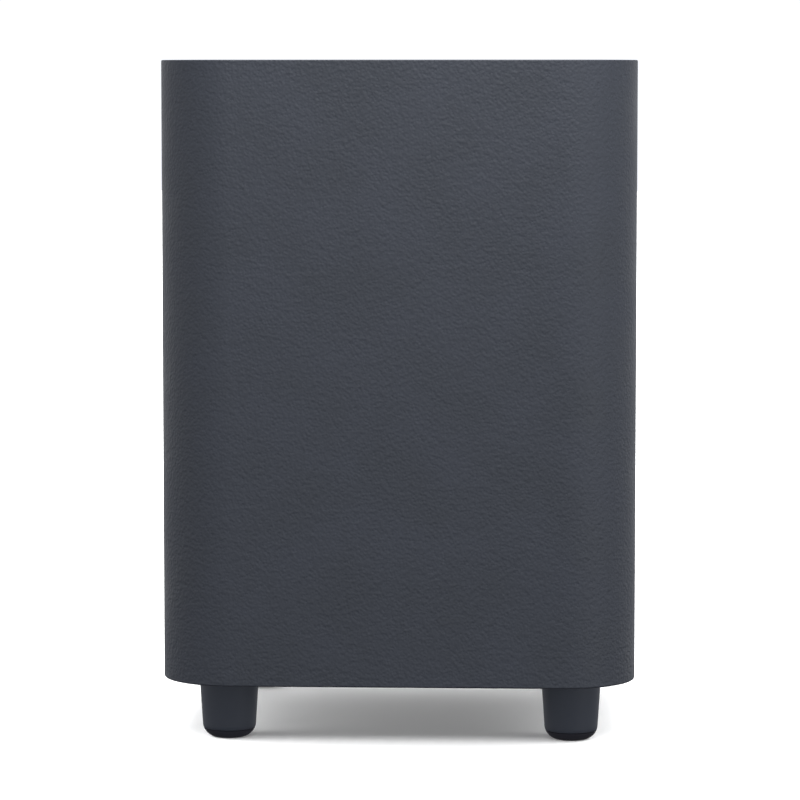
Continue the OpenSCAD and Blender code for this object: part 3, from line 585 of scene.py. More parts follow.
# %% Cut-outs in the rear wall
PORT_Z = middle("port_mouth", 2) / MM
AMP_Z = middle("amp_plate", 2) / MM
REAR = DEPTH / 2
OUTSIDE = REAR + 5
INSIDE = REAR - WALL - 2
PORT_SEAT, AMP_SEAT = REAR - 3, REAR - 6.5

port_plug = piece_from(plug_of([
    circle_ring(r * MM, y * MM, 128, (0, PORT_Z * MM), True)
    for r, y in ((50.5, OUTSIDE), (50.5, PORT_SEAT), (46.5, PORT_SEAT), (46.5, INSIDE))
]), "port_plug")
amp_plug = piece_from(plug_of([
    square_ring(w / 2 * MM, h / 2 * MM, 8 * MM, y * MM, 8, (0, AMP_Z * MM), True)
    for w, h, y in ((131, 191, OUTSIDE), (131, 191, AMP_SEAT), (109, 165, AMP_SEAT), (109, 165, INSIDE))
]), "amp_plug")
for plug in (port_plug, amp_plug):
    cut = wall.modifiers.new("cut", "BOOLEAN")
    cut.operation = "DIFFERENCE"
    cut.object = plug
    cut.solver = "EXACT"
    wall.data = made_plain(wall)
    bpy.data.objects.remove(plug)
print("openings at", round(PORT_Z, 1), "and", round(AMP_Z, 1), "mm above the floor")

# %% Wrap and bare board
wall.data.materials.clear()


def inset_of(x, y):
    """How far a point lies inside the cabinet's outline, in millimetres."""
    dx = max(abs(x) - (WIDTH / 2 - CORNER), 0)
    dy = max(abs(y) - (DEPTH / 2 - CORNER), 0)
    if dx and dy:
        return CORNER - math.hypot(dx, dy)
    return min(WIDTH / 2 - abs(x), DEPTH / 2 - abs(y))


def bare_inside(piece, is_bare):
    """Gives the raw board to the faces that the foil does not reach."""
    piece.data.materials.append(MATERIALS["board"])
    for polygon in piece.data.polygons:
        polygon.material_index = 1 if is_bare(polygon.center / MM) else 0


wall.data.materials.append(MATERIALS["vinyl"])
bare_inside(wall, lambda centre: inset_of(centre.x, centre.y) > LIP + 0.05)
finish_piece(wall, None, ["cabinet_sleeve"], 30)
print("wall after the cuts", len(wall.data.polygons), "faces")

# %% [markdown]
# ## Feet
#
# A foot is a hollow ABS cone with a rubber sole pressed into it. Both are turned. The foot meets the box
# with a tiny rounding, so that a fine dark line shows there, and the sole stands back a hair from the foot,
# as a separate moulding does.

# %% Feet and soles
FOOT_TOP_R, FOOT_SOLE_R, FOOT_EDGE_R, PAD_H = 19.5, 16.8, 9.5, 6.0
FOOT_SPOTS = ("front_left", "front_right", "rear_left", "rear_right")
EDGE_STEPS = 16
slope = (FOOT_TOP_R - FOOT_SOLE_R) / BASE
lean = math.sqrt(1 + slope * slope)
flat_r = FOOT_SOLE_R + slope * FOOT_EDGE_R - FOOT_EDGE_R * lean
START_ANGLE = math.degrees(math.asin(slope / lean))


def foot_arc(low_angle, high_angle):
    """Points on the rounding under the foot, with angles down from the horizontal."""
    angles = [math.radians(a) for a in evenly(low_angle, high_angle, EDGE_STEPS)]
    return [(flat_r + FOOT_EDGE_R * math.cos(a), FOOT_EDGE_R - FOOT_EDGE_R * math.sin(a)) for a in angles]


seam_angle = math.degrees(math.asin((FOOT_EDGE_R - PAD_H) / FOOT_EDGE_R))
seam_r = flat_r + FOOT_EDGE_R * math.cos(math.radians(seam_angle))
foot_outline = [(3.2, PAD_H + 3.5), (3.2, BASE - 0.2), (FOOT_TOP_R - 0.8, BASE - 0.05)]
foot_outline += [(FOOT_TOP_R - 0.25, BASE - 0.25), (FOOT_TOP_R - 0.02, BASE - 0.9)]
foot_outline += [(FOOT_SOLE_R + slope * h, h) for h in (32, 22, 14)]
foot_outline += foot_arc(START_ANGLE, seam_angle - 1.5)
foot_outline += [(seam_r - 0.5, PAD_H + 0.02), (6.3, PAD_H + 0.02), (6.3, PAD_H + 3.5)]
pad_outline = [(0, 0.0), (4, 0.0), (7.5, 0.0)] + foot_arc(90, seam_angle + 2)
pad_outline += [(seam_r - 0.55, PAD_H - 0.02), (6.0, PAD_H - 0.02), (6.0, PAD_H + 3), (0, PAD_H + 3)]

for spot in FOOT_SPOTS:
    centre = (middle("foot_" + spot, 0), middle("foot_" + spot, 1))
    foot = turned("foot_shell_" + spot, foot_outline, 96, centre)
    finish_piece(foot, "foot_abs", ["foot_" + spot], 40)
    sole = turned("foot_sole_" + spot, pad_outline, 96, centre, closed=False)
    finish_piece(sole, "rubber", ["foot_pad_" + spot], 40)
print("last foot centre at", [round(c / MM, 1) for c in centre])

# %% [markdown]
# ## Eased copies
#
# A CAD edge is perfectly sharp, and nothing real is. A moulded or pressed edge has a radius of a few tenths
# of a millimetre, and the thin line of light on it tells the eye that the piece is solid. `eased` copies a
# CAD node, joins its loose triangles, melts the flat ones together, and bevels every true edge. The CAD
# node itself stays as it was and is only hidden.

# %% Eased copies
SAME_POINT = 2e-6


def joined_copy(node):
    """A copy of a CAD node with its loose triangles joined."""
    bm = bmesh.new()
    bm.from_mesh(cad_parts[node].data)
    bmesh.ops.remove_doubles(bm, verts=bm.verts, dist=SAME_POINT)
    return bm


def eased(node, finish, width_mm=0.3, steps=2, name=None, body="cabinet"):
    """A copy of a CAD node with its edges rounded."""
    bm = joined_copy(node)
    bmesh.ops.dissolve_limit(bm, angle_limit=math.radians(0.4), verts=bm.verts, edges=bm.edges)
    piece = piece_from(bm, name or node + "_eased")
    if width_mm:
        bevel = piece.modifiers.new("eased_edges", "BEVEL")
        bevel.width = width_mm * MM
        bevel.segments = steps
        bevel.limit_method = "ANGLE"
        bevel.angle_limit = math.radians(40)
        bevel.use_clamp_overlap = True
        bevel.miter_outer = "MITER_ARC"
    return finish_piece(piece, finish, [node], 50, body)


# %% [markdown]
# ## End panels
#
# The top panel drops into its rebate, wrapped in the same foil, and leaves a hair-thin joint just inside
# the edge of the wall. The bottom panel is cut out for the driver, whose flange lies flush in a recess.

# %% End panels
panel_low = span("top_panel", 2)[0]
panel_rings = [wall_ring(LIP + i, TOP - h) for i, h in ((0.55, 0), (0.25, 0.15), (0.15, 0.45))]
panel_rings.append(wall_ring(LIP + 0.15, TOP - REBATE + 0.1))
panel_rings += [wall_ring(WALL + 0.1, TOP - REBATE + 0.1), wall_ring(WALL + 0.1, panel_low)]
ends = [[(0, 0, TOP * MM)], [(0, 0, panel_low * MM)]]
top_piece = piece_from(rings_to_bmesh(ends[:1] + panel_rings + ends[1:], False), "top_cover")
finish_piece(top_piece, "vinyl", ["top_panel"], 30)
baffle = eased("bottom_baffle", "vinyl", 0.5, name="bottom_cover")
bare_inside(top_piece, lambda centre: centre.z < TOP - 1)
bare_inside(baffle, lambda centre: centre.z > BASE + 1)
eased("window_brace", "board", 0.5, 1)
print("end panels", len(top_piece.data.polygons), len(baffle.data.polygons))

# %% [markdown]
# ## Wadding
#
# A soft blanket of polyester fibre lines the walls and soaks up the sound inside. It is cut from a sheet,
# so its edges are blunt and its face swells and dips a little. The CAD solid gives the space that it fills.
# It is remeshed into small even faces, and each point sinks in by a little noise.

# %% Wadding
# Polyester wadding: an off-white felt of long strands, with a soft fringe of light.
tree, shader, place, _ = surface(
    "wadding", "polyester_fibre_wadding", ("#c9c8c2", "#dddcd7"), (0.9, 1.0), drift_mm=18,
    sockets=[("Sheen Weight", 0.3)],
)
stretched = add(tree, "ShaderNodeMapping", {"Vector": place, "Scale": (1.0, 1.0, 4.0)})
strands = add(tree, "ShaderNodeTexNoise", {
    "Vector": stretched.outputs[0], "Scale": 420.0, "Detail": 5.0, "Distortion": 1.4,
})
relief(tree, shader, strands.outputs["Fac"], 0.9)

WADDING_VOXEL_MM = 4.5
WADDING_DIP_MM = 2.6
wadding = piece_from(joined_copy("damping_wadding"), "wadding_blanket")
remesh = wadding.modifiers.new("even_faces", "REMESH")
remesh.mode = "VOXEL"
remesh.voxel_size = WADDING_VOXEL_MM * MM
wadding.data = made_plain(wadding)
normals = [vertex.normal.copy() for vertex in wadding.data.vertices]
for vertex, normal in zip(wadding.data.vertices, normals):
    wave = 0.5 + 0.5 * noise.noise(vertex.co * 26.0) + 0.25 * noise.noise(vertex.co * 95.0)
    vertex.co -= normal * WADDING_DIP_MM * MM * max(wave, 0.1)
finish_piece(wadding, "wadding", ["damping_wadding"], 180)
print("wadding", len(wadding.data.polygons), "faces")

# %% [markdown]
# ## Driver: frame, gasket and trim
#
# The frame is pressed from sheet steel and powder coated. Its windows let the air move behind the cone. The
# trim ring clamps the edge of the surround and is the one glossy part of the driver.

# %% Driver frame
RIM_IN, RIM_OUT = 107.2, 113.0
RIM_LOW, RIM_HIGH = span("trim_ring", 2)
eased("basket", "powder_coat")
eased("driver_gasket", "foam", 0)
trim_outline = [(RIM_IN, RIM_LOW, 1), (RIM_OUT, RIM_LOW, 1)]
trim_outline += [(RIM_OUT, RIM_HIGH, 0.3), (RIM_IN, RIM_HIGH, 0.3)]
trim = turned("trim_band", rounded(trim_outline, 0.6), 192)
finish_piece(trim, "gloss_abs", ["trim_ring"], 50)
print("trim band", len(trim.data.polygons), "faces")

# %% [markdown]
# ## Driver: what moves
#
# The cone is pressed from paper pulp on a wire mesh, which leaves a dull felt-like face, and three shallow
# ridges stiffen it. The dust cap closes its middle. Both are turned about the axis, as their tools are.

# %% Cone and dust cap
CONE_RIM_R, CONE_LIP_R, CONE_NECK_R = 88.0, 82.0, 25.25
CONE_LOW, CONE_TOP = span("cone", 2)
CONE_RISE, CONE_SKIN = 36, 1.2
CONE_SLOPE = CONE_RISE / (CONE_LIP_R - CONE_NECK_R)
CONE_WALL = CONE_SKIN * math.sqrt(1 + CONE_SLOPE * CONE_SLOPE)
CONE_STEPS = 72
RIDGE_MM = 0.35
RIDGES_IN, RIDGES_OUT = 46, 80


def cone_height(radius):
    """Underside of the cone, with shallow ridges outside the dust cap."""
    plain = CONE_LOW + (CONE_LIP_R - radius) * CONE_SLOPE
    if RIDGES_IN < radius < RIDGES_OUT:
        plain += RIDGE_MM * max(0.0, math.sin((radius - RIDGES_IN) / 34 * 6 * math.pi)) ** 2
    return plain


cone_radii = evenly(CONE_LIP_R, CONE_NECK_R, CONE_STEPS)
cone_outline = [(CONE_RIM_R, CONE_LOW + CONE_SKIN), (CONE_RIM_R, CONE_LOW)]
cone_outline += [(r, cone_height(r)) for r in cone_radii]
cone_outline += [(CONE_NECK_R, CONE_TOP), (CONE_NECK_R + CONE_SKIN, CONE_TOP)]
cone_outline += [(r, cone_height(r) + CONE_WALL) for r in cone_radii[::-1][2:]]
cone = turned("paper_cone", cone_outline, 160)
finish_piece(cone, "cone_paper", ["cone"], 40, "cone_assembly")

CAP_R, CAP_RISE, CAP_WALL = 42.0, 14.0, 0.9
CAP_STEPS = 32
CAP_LOW = span("dust_cap", 2)[0]
cap_ball = (CAP_R ** 2 + CAP_RISE ** 2) / (2 * CAP_RISE)
cap_steps = evenly(0, math.asin(CAP_R / cap_ball), CAP_STEPS)
cap_outline = [(cap_ball * math.sin(a), CAP_LOW + cap_ball * (1 - math.cos(a))) for a in cap_steps]
cap_outline[-1] = (CAP_R - 0.05, cap_outline[-1][1])
inner_ball = cap_ball - CAP_WALL
cap_steps.reverse()
cap_outline += [(inner_ball * math.sin(a), CAP_LOW + cap_ball - inner_ball * math.cos(a)) for a in cap_steps]
cap = turned("dust_dome", cap_outline, 160, closed=False)
finish_piece(cap, "cone_paper", ["dust_cap"], 60, "cone_assembly")
print("cone", len(cone.data.polygons), "dust cap", len(cap.data.polygons))

# %% [markdown]
# ## Voice coil by Geometry Nodes
#
# The coil is enamelled copper wire, wound in one layer here because only the outer one would show. A
# winding follows a rule, so Geometry Nodes make it: a spiral with the coil's radius, height and number of
# turns becomes a curve, and a small circle swept along it becomes the wire.

# %% Winding tree
# Enamelled copper: red metal under a clear coat, so each turn has a thin bright line.
surface("copper", "enamelled_copper", ("#a5542a", "#b9632f"), (0.25, 0.32), metallic=1.0, drift_mm=4)


def new_tree(name, sockets):
    """A geometry tree with named inputs, each given as (name, kind, value)."""
    tree = bpy.data.node_groups.new(name, "GeometryNodeTree")
    for label, kind, value in sockets:
        made = tree.interface.new_socket(name=label, in_out="INPUT", socket_type="NodeSocket" + kind)
        if value is not None:
            made.default_value = value
    tree.interface.new_socket(name="Geometry", in_out="OUTPUT", socket_type="NodeSocketGeometry")
    return tree, add(tree, "NodeGroupInput").outputs


def painted_output(tree, geometry, finish):
    """Ends a tree: copies become real faces and get their material."""
    whole = add(tree, "GeometryNodeRealizeInstances", {"Geometry": geometry})
    painted = add(tree, "GeometryNodeSetMaterial", {"Geometry": whole.outputs[0], "Material": finish})
    add(tree, "NodeGroupOutput", {"Geometry": painted.outputs[0]})


def bake(name, tree, inputs, source=None):
    """Runs a tree once with its inputs, and gives the result as a plain object."""
    holder = link(name + "_source", source or mesh_of(name + "_source", [(0, 0, 0)], []))
    nodes = holder.modifiers.new("tree", "NODES")
    nodes.node_group = tree
    sockets = {s.name: s.identifier for s in tree.interface.items_tree if s.in_out == "INPUT"}
    for label, value in inputs.items():
        nodes[sockets[label]] = value
    mesh = made_plain(holder)
    bpy.data.objects.remove(holder)
    return link(name, mesh)


winding, given = new_tree("winding", (
    ("Radius", "Float", 0.02), ("Height", "Float", 0.02), ("Turns", "Float", 10.0),
    ("Wire", "Float", 0.0004), ("Start", "Vector", None), ("Finish", "Material", None),
))
spiral = add(winding, "GeometryNodeCurveSpiral", {
    "Resolution": 36, "Rotations": given["Turns"], "Start Radius": given["Radius"],
    "End Radius": given["Radius"], "Height": given["Height"],
})
section = add(winding, "GeometryNodeCurvePrimitiveCircle", {"Resolution": 5, "Radius": given["Wire"]})
swept = add(winding, "GeometryNodeCurveToMesh", {
    "Curve": spiral.outputs[0], "Profile Curve": section.outputs[0], "Fill Caps": True,
})
placed = add(winding, "GeometryNodeTransform", {
    "Geometry": swept.outputs[0], "Translation": given["Start"],
})
painted_output(winding, placed.outputs[0], given["Finish"])
print("winding tree", len(winding.nodes), "nodes")

# %% Voice coil and former
COIL_R, COIL_WIRE_R, COIL_TURNS = 25.95, 0.33, 34.0
COIL_LOW, COIL_HIGH = span("voice_coil", 2)
coil = bake("coil_winding", winding, {
    "Radius": COIL_R * MM, "Height": (COIL_HIGH - COIL_LOW - 2 * COIL_WIRE_R) * MM, "Turns": COIL_TURNS,
    "Wire": COIL_WIRE_R * MM, "Start": (0, 0, (COIL_LOW + COIL_WIRE_R) * MM),
    "Finish": MATERIALS["copper"],
})
finish_piece(coil, None, ["voice_coil"], 60, "cone_assembly")


def tube_of(inner_r, outer_r, low, high, edge):
    """The outline of a plain tube with its four edges rounded."""
    return rounded([(inner_r, low, 1), (outer_r, low, 1), (outer_r, high, 1), (inner_r, high, 1)], edge)


former = turned("coil_former", tube_of(24.6, 25.2, *span("voice_coil_former", 2), 0.2), 128)
finish_piece(former, "aluminium", ["voice_coil_former"], 60, "cone_assembly")
print("coil", len(coil.data.polygons), "faces")

# %% [markdown]
# ## What flexes with the cone
#
# The surround is a half roll of butyl rubber, and the spider is a corrugated disc of resin-dipped cloth.
# Their outer edges stay with the frame and their inner edges move with the cone.

# %% Flexing pieces
# Resin-dipped cotton: an ochre weave whose crossing threads catch the light.
tree, shader, place, _ = surface(
    "cloth", "resin_dipped_cotton", ("#a98a45", "#bb9a50"), (0.7, 0.85), drift_mm=9,
)
for turn in (0.0, math.pi / 2):
    along = add(tree, "ShaderNodeMapping", {"Vector": place, "Rotation": (0, 0, turn)}).outputs[0]
    threads = add(tree, "ShaderNodeTexWave", {"Vector": along, "Scale": 260.0, "Distortion": 0.6})
    relief(tree, shader, threads.outputs["Fac"], 0.08)


def flexing(piece, finish, node, still_r, moving_r):
    """A piece whose outer edge stays with the cabinet and whose inner edge follows the cone."""
    piece.data.materials.clear()
    piece.data.materials.append(MATERIALS[finish])
    for polygon in piece.data.polygons:
        polygon.use_smooth = True
    low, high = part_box(node)
    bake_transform(piece, "cabinet", "cone_assembly", start=(0, 0, low[2]), end=(0, 0, high[2]))
    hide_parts(node)
    weights = piece.data.attributes["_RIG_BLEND"].data
    for index, vertex in enumerate(piece.data.vertices):
        share = (still_r - math.hypot(vertex.co.x, vertex.co.y) / MM) / (still_r - moving_r)
        share = min(max(share, 0.0), 1.0)
        weights[index].value = share * share * (3 - 2 * share)
    print(piece.name, len(piece.data.polygons), "faces")


def half_circle(centre_r, centre_z, radius, steps=40):
    """The lower half of a circle, from its inner end to its outer end."""
    angles = [math.radians(a) for a in evenly(180, 360, steps)]
    return [(centre_r + radius * math.cos(a), centre_z + radius * math.sin(a)) for a in angles]


ROLL_R, ROLL_MID, SKIN = 9.0, 97.0, 1.2
ROLL_FOOT = 1.6
ROLL_STILL_R, ROLL_MOVING_R = 106.5, 88.0
roll_top = span("surround", 2)[1]
roll_low = roll_top - SKIN
under = half_circle(ROLL_MID, roll_top - SKIN / 2, ROLL_R + SKIN / 2)
over = half_circle(ROLL_MID, roll_top - SKIN / 2, ROLL_R - SKIN / 2)[::-1]
roll_outline = [(CONE_LIP_R, roll_top), (CONE_LIP_R, roll_low), (ROLL_MID - ROLL_R - ROLL_FOOT, roll_low)]
roll_outline += under[2:-2] + [(ROLL_MID + ROLL_R + ROLL_FOOT, roll_low), (RIM_OUT, roll_low)]
roll_outline += [(RIM_OUT, roll_top), (ROLL_MID + ROLL_R, roll_top)] + over[1:-1]
roll_outline += [(ROLL_MID - ROLL_R, roll_top)]
roll = turned("rubber_roll", roll_outline, 192)
flexing(roll, "roll_rubber", "surround", ROLL_STILL_R, ROLL_MOVING_R)

SPIDER_R, SPIDER_EDGE, SPIDER_HUB, SPIDER_SKIN, SPIDER_WAVES = 63.5, 5.5, 4.7, 0.8, 4
SPIDER_STEPS, SPIDER_FADE = 80, 6
spider_low, spider_high = span("spider", 2)
spider_mid = (spider_low + spider_high) / 2
wave_height = (spider_high - spider_low) / 2 - SPIDER_SKIN / 2
wave_start, wave_end = CONE_NECK_R + SPIDER_HUB, SPIDER_R - SPIDER_EDGE
spider_line = [(CONE_NECK_R, spider_mid)]
for k, r in enumerate(evenly(wave_start, wave_end, SPIDER_STEPS)):
    fade = min(1.0, k / SPIDER_FADE, (SPIDER_STEPS - k) / SPIDER_FADE)
    wave = math.sin(SPIDER_WAVES * math.pi * (r - wave_start) / (wave_end - wave_start))
    spider_line.append((r, spider_mid + fade * wave_height * 0.96 * wave))
spider_line.append((SPIDER_R, spider_mid))
spider_outline = [(r, z + SPIDER_SKIN / 2) for r, z in spider_line]
spider_outline += [(r, z - SPIDER_SKIN / 2) for r, z in spider_line[::-1]]
spider = turned("cloth_spider", spider_outline, 128)
flexing(spider, "cloth", "spider", wave_end, wave_start)

# %% [markdown]
# ## Tinsel leads
#
# Two braided copper leads carry the current to the cone. Each is copied from its CAD solid, and one end
# stays on the terminal strip while the other follows the cone.

# %% Tinsel leads
LEAD_STILL_R, LEAD_MOVING_R = 84.0, 54.0
leads = piece_from(joined_copy("tinsel_leads"), "braided_leads")
# Copper braid: a pink-brown rope with a slanting sparkle.
tree, shader, place, _ = surface(
    "braid", "tinned_copper_braid", ("#a8795a", "#c08f6c"), (0.35, 0.5), metallic=1.0, drift_mm=3,
)
strands = add(tree, "ShaderNodeTexWave", {
    "Vector": place, "Scale": 900.0, "Distortion": 1.0,
}, bands_direction="DIAGONAL")
relief(tree, shader, strands.outputs["Fac"], 0.1)
flexing(leads, "braid", "tinsel_leads", LEAD_STILL_R, LEAD_MOVING_R)

# %% [markdown]
# ## Magnet and the rest of the driver
#
# Steel plates sandwich a ring of ferrite. The plates are turned and the magnet is sintered and ground.

# %% Motor
for node, finish, slot_name, width in (
    ("top_plate", "steel", "motor_steel", 0.6), ("magnet", "ferrite", "magnet_ferrite", 1.0),
    ("yoke", "steel", "motor_steel", 0.8), ("terminal_strip", "phenolic", "terminal_board", 0.2),
    ("terminal_tabs", "brass", "insert_brass", 0.15),
):
    print(node, len(eased(node, finish, width).data.polygons), "faces")

# %% [markdown]
# ## Screws by Geometry Nodes
#
# Every screw of a kind is the same piece in many places. One screw is made in code: a turned head and
# shank, whose head has a cross recess pressed into it. A tree then sets a copy on each point of a pattern,
# turns it along the screw's direction and spins it by a random angle, because nobody lines up the slots.
# The ribs on the amplifier plate use the same tree later, without the spin.

# %% One screw
SCREW_SIDES = 32
SCREW_POINT = 1.6
HEAD_CELLS = 7


def screw_mesh(name, head, shank_r, length, recess_r, recess_depth):
    """A screw along Z: head is its outline (radius, height) from the rim to the middle, flat on top."""
    rim_r, top = head[-1]
    outline = [(0, -length), (shank_r * 0.35, -length), (shank_r, -length + SCREW_POINT)]
    pitch = max(0.9, shank_r * 0.45)
    for k in range(int((length - 2.4) / pitch)):
        z = -length + SCREW_POINT + k * pitch
        outline += [(shank_r, z + pitch * 0.2), (shank_r * 0.86, z + pitch * 0.6)]
    outline += [(shank_r, head[0][1] - 0.01)] + head
    outline += [(rim_r * (1 - k / HEAD_CELLS), top) for k in range(1, HEAD_CELLS)] + [(0, top)]
    bm = rings_to_bmesh([circle_ring(r * MM, h * MM, SCREW_SIDES) for r, h in outline], False)
    arm = recess_r * 0.3
    for vertex in bm.verts:
        x, y, z = vertex.co / MM
        out = math.hypot(x, y)
        if z > top - 1e-3 and out < recess_r and min(abs(x), abs(y)) < arm:
            vertex.co.z -= recess_depth * (1 - 0.5 * out / recess_r) * MM
    return mesh_from(bm, name)


# %% Tree of copies
COPIES, given = new_tree("copies_on_points", (
    ("Points", "Geometry", None), ("Piece", "Object", None), ("Direction", "Vector", (0, 0, 1)),
    ("Most Spin", "Float", 2 * math.pi), ("Seed", "Int", 7), ("Finish", "Material", None),
))
one = add(COPIES, "GeometryNodeObjectInfo", {"Object": given["Piece"]})
# The float maximum is the fourth input; the others of that name belong to other kinds of number.
spin = add(COPIES, "FunctionNodeRandomValue", {3: given["Most Spin"], "Seed": given["Seed"]})
around = add(COPIES, "ShaderNodeCombineXYZ", {"Z": spin.outputs[1]})
towards = add(COPIES, "FunctionNodeAlignRotationToVector", {"Vector": given["Direction"]}, axis="Z")
turn = add(COPIES, "FunctionNodeEulerToRotation", {0: around.outputs[0]})
both = add(COPIES, "FunctionNodeRotateRotation", {
    0: towards.outputs[0], 1: turn.outputs[0],
}, rotation_space="LOCAL")
copies = add(COPIES, "GeometryNodeInstanceOnPoints", {
    "Points": given["Points"], "Instance": one.outputs["Geometry"], "Rotation": both.outputs[0],
})
painted_output(COPIES, copies.outputs[0], given["Finish"])
print("tree of copies", len(COPIES.nodes), "nodes")


def set_copies(name, mesh, spots_mm, finish, inputs):
    """One piece made of copies of a mesh on points given in millimetres."""
    mesh.materials.append(MATERIALS[finish])
    single = link(name + "_one", mesh)
    spots = mesh_of(name + "_spots", [tuple(c * MM for c in spot) for spot in spots_mm], [])
    piece = bake(name, COPIES, {"Piece": single, "Finish": MATERIALS[finish], **inputs}, spots)
    bpy.data.objects.remove(single)
    return piece


def set_screws(name, node, screw, spots_mm, direction, seed, finish="black_zinc"):
    """Screws of one kind at their places; screw is (head, shank, length, recess, recess depth)."""
    mesh = screw_mesh(name[:-1], *screw)
    piece = set_copies(name, mesh, spots_mm, finish, {"Direction": direction, "Seed": seed})
    finish_piece(piece, None, [node], 40)
    print(name, len(spots_mm), "screws,", len(piece.data.polygons), "faces")


# %% Driver and foot screws
DOWN = (0, 0, -1)
DRIVER_CIRCLE = 118
# Height at which the heads of the foot bolts sit inside the feet.
FOOT_SEAT = 13


def pan_head(radius, height):
    """A domed head from its seat up."""
    shares = ((1, 0), (1, 0.45), (0.93, 0.7), (0.78, 0.92), (0.62, 1))
    return [(radius * r, height * h) for r, h in shares]


FLANGE_LOW = span("basket", 2)[0]
ring_angles = [math.radians(22.5 + 45 * k) for k in range(8)]
ring_spots = [(DRIVER_CIRCLE * math.cos(a), DRIVER_CIRCLE * math.sin(a), FLANGE_LOW) for a in ring_angles]
set_screws("driver_bolts", "driver_screws", (pan_head(4.2, 2.4), 2.0, 13, 2.3, 1.3), ring_spots, DOWN, 7)
foot_spots = [
    (middle("foot_" + spot, 0) / MM, middle("foot_" + spot, 1) / MM, FOOT_SEAT) for spot in FOOT_SPOTS
]
set_screws("foot_bolts", "foot_screws", (pan_head(4.5, 3), 2.5, 41, 2.5, 1.5), foot_spots, DOWN, 3)
eased("foot_inserts", "brass", 0.2)

# %% [markdown]
# ## Reflex port
#
# The port is a tube that is tuned by its length, with a bell at each end so that the air doesn't chuff. The
# mouth is a satin moulding whose flange lies flush in the rear wall.

# %% Reflex port
PORT_R, FLARE_R, PORT_LENGTH = 32.0, 12.0, 180.0
PORT_CENTRE = (0, PORT_Z * MM)
bell_angles = [math.radians(a) for a in range(0, 91, 5)]
bell = [(PORT_R + FLARE_R - FLARE_R * math.cos(a), -FLARE_R + FLARE_R * math.sin(a)) for a in bell_angles]


def collar(end, way):
    """The stepped sleeve behind a bell, which holds the tube. Way is the direction inwards, 1 or -1."""
    steps = ((46.0, 14), (37.0, 14), (37.0, 28), (34.1, 28), (34.1, 14), (PORT_R, 14))
    return [(r, end + way * h) for r, h in steps]


def port_piece(name, outline, count, node):
    """A turned piece of the port. Its outline counts outwards from the rear face."""
    piece = turned(name, [(r, REAR + h) for r, h in outline], count, PORT_CENTRE, True)
    finish_piece(piece, "port_abs", [node], 40)
    print(name, len(piece.data.polygons), "faces")


flange = [(49.3, 0.0), (49.8, -0.15), (50.0, -0.6), (50.0, -3.0), (46.0, -3.0)]
port_piece("port_bell", bell + flange + collar(0, -1), 160, "port_mouth")
inner_bell = [(r, -PORT_LENGTH - h) for r, h in bell]
lip = [(45.4, -PORT_LENGTH + 0.3), (46.0, -PORT_LENGTH + 1.2)]
port_piece("port_inner_bell", inner_bell + lip + collar(-PORT_LENGTH, 1), 128, "port_inner_flare")
port_piece("port_pipe", tube_of(32, 34, -166, -14, 0.4), 128, "port_tube")

# %% [markdown]
# ## Amplifier plate
#
# The plate is moulded with a spark-eroded texture. Shallow ribs stiffen it, and a low frame is raised round
# each control. These parts of the moulding are too fine for the CAD model, so they are thin pieces that lie
# on the plate.

# %% Amplifier plate
eased("amp_plate", "panel_abs", 0.35)
PLATE_FACE = span("amp_plate", 1)[1]
CONTROL_Z = middle("connect_button", 2) / MM
# The relief starts a little below the plate's face, so that no gap shows.
SUNK = -0.2
RIBS, RIB_PITCH, RIB_WIDTH, RIB_LENGTH, RIB_RISE = 15, 6.0, 1.6, 58, 0.8
FRAME_WIDTH, FRAME_RISE = 0.9, 0.45


def rib_mesh():
    """One low rib with a rounded top, its long side along Z."""
    edge, brow = RIB_WIDTH * 0.12, RIB_WIDTH * 0.28
    rings = []
    for inset, level in ((0, SUNK), (0, RIB_RISE * 0.6), (edge, RIB_RISE * 0.9), (brow, RIB_RISE)):
        half_w, half_h = (RIB_WIDTH / 2 - inset) * MM, (RIB_LENGTH / 2 - inset) * MM
        rings.append(square_ring(half_w, half_h, half_w * 0.98, level * MM, 4, (0, 0), True))
    return mesh_from(plug_of(rings), "rib")


def frame_rings(half_x, half_z, radius, x, z):
    """A raised frame round a control, as a closed loop of rings."""
    edge = FRAME_RISE * 0.7
    levels = [(0, SUNK), (0, edge), (0.3, FRAME_RISE), (0.7, FRAME_RISE), (1, edge), (1, SUNK)]
    rings = []
    for share, level in levels:
        inset = share * FRAME_WIDTH
        size = [(half_x - inset) * MM, (half_z - inset) * MM, max(radius - inset, 0.2) * MM]
        rings.append(square_ring(*size, (PLATE_FACE + level) * MM, 8, (x * MM, z * MM), True))
    return rings


rib_spots = [((k - RIBS // 2) * RIB_PITCH, PLATE_FACE, AMP_Z - 4) for k in range(RIBS)]
ribs_piece = set_copies("plate_ribs", rib_mesh(), rib_spots, "panel_abs", {"Most Spin": 0.0})
finish_piece(ribs_piece, "panel_abs", [], 50)

# Half width, half height and corner of each frame, and the place of its middle.
frames = merged([rings_to_bmesh(frame_rings(*numbers), True) for numbers in (
    (9, 9, 9, -24, CONTROL_Z), (4.6, 4.6, 4.6, 0, CONTROL_Z), (10.4, 6.6, 2.4, 24, CONTROL_Z),
    (46, 12.5, 5, 0, CONTROL_Z), (18, 13.5, 4, 0, 98),
)])
bmesh.ops.remove_doubles(frames, verts=frames.verts, dist=SAME_POINT)
finish_piece(piece_from(frames, "plate_frames"), "panel_abs", [], 50)
print("plate relief", len(ribs_piece.data.polygons), "faces")

# %% Plate and housing screws
REARWARDS = (0, 1, 0)
PLATE_X, PLATE_Z = 59, 89
HOUSING_X, HOUSING_Z = 48, 76


def sunk_head(radius, height):
    """A countersunk head with a flat face at height 0."""
    return [(radius * 0.55, -height), (radius * 0.97, -0.12), (radius, 0)]


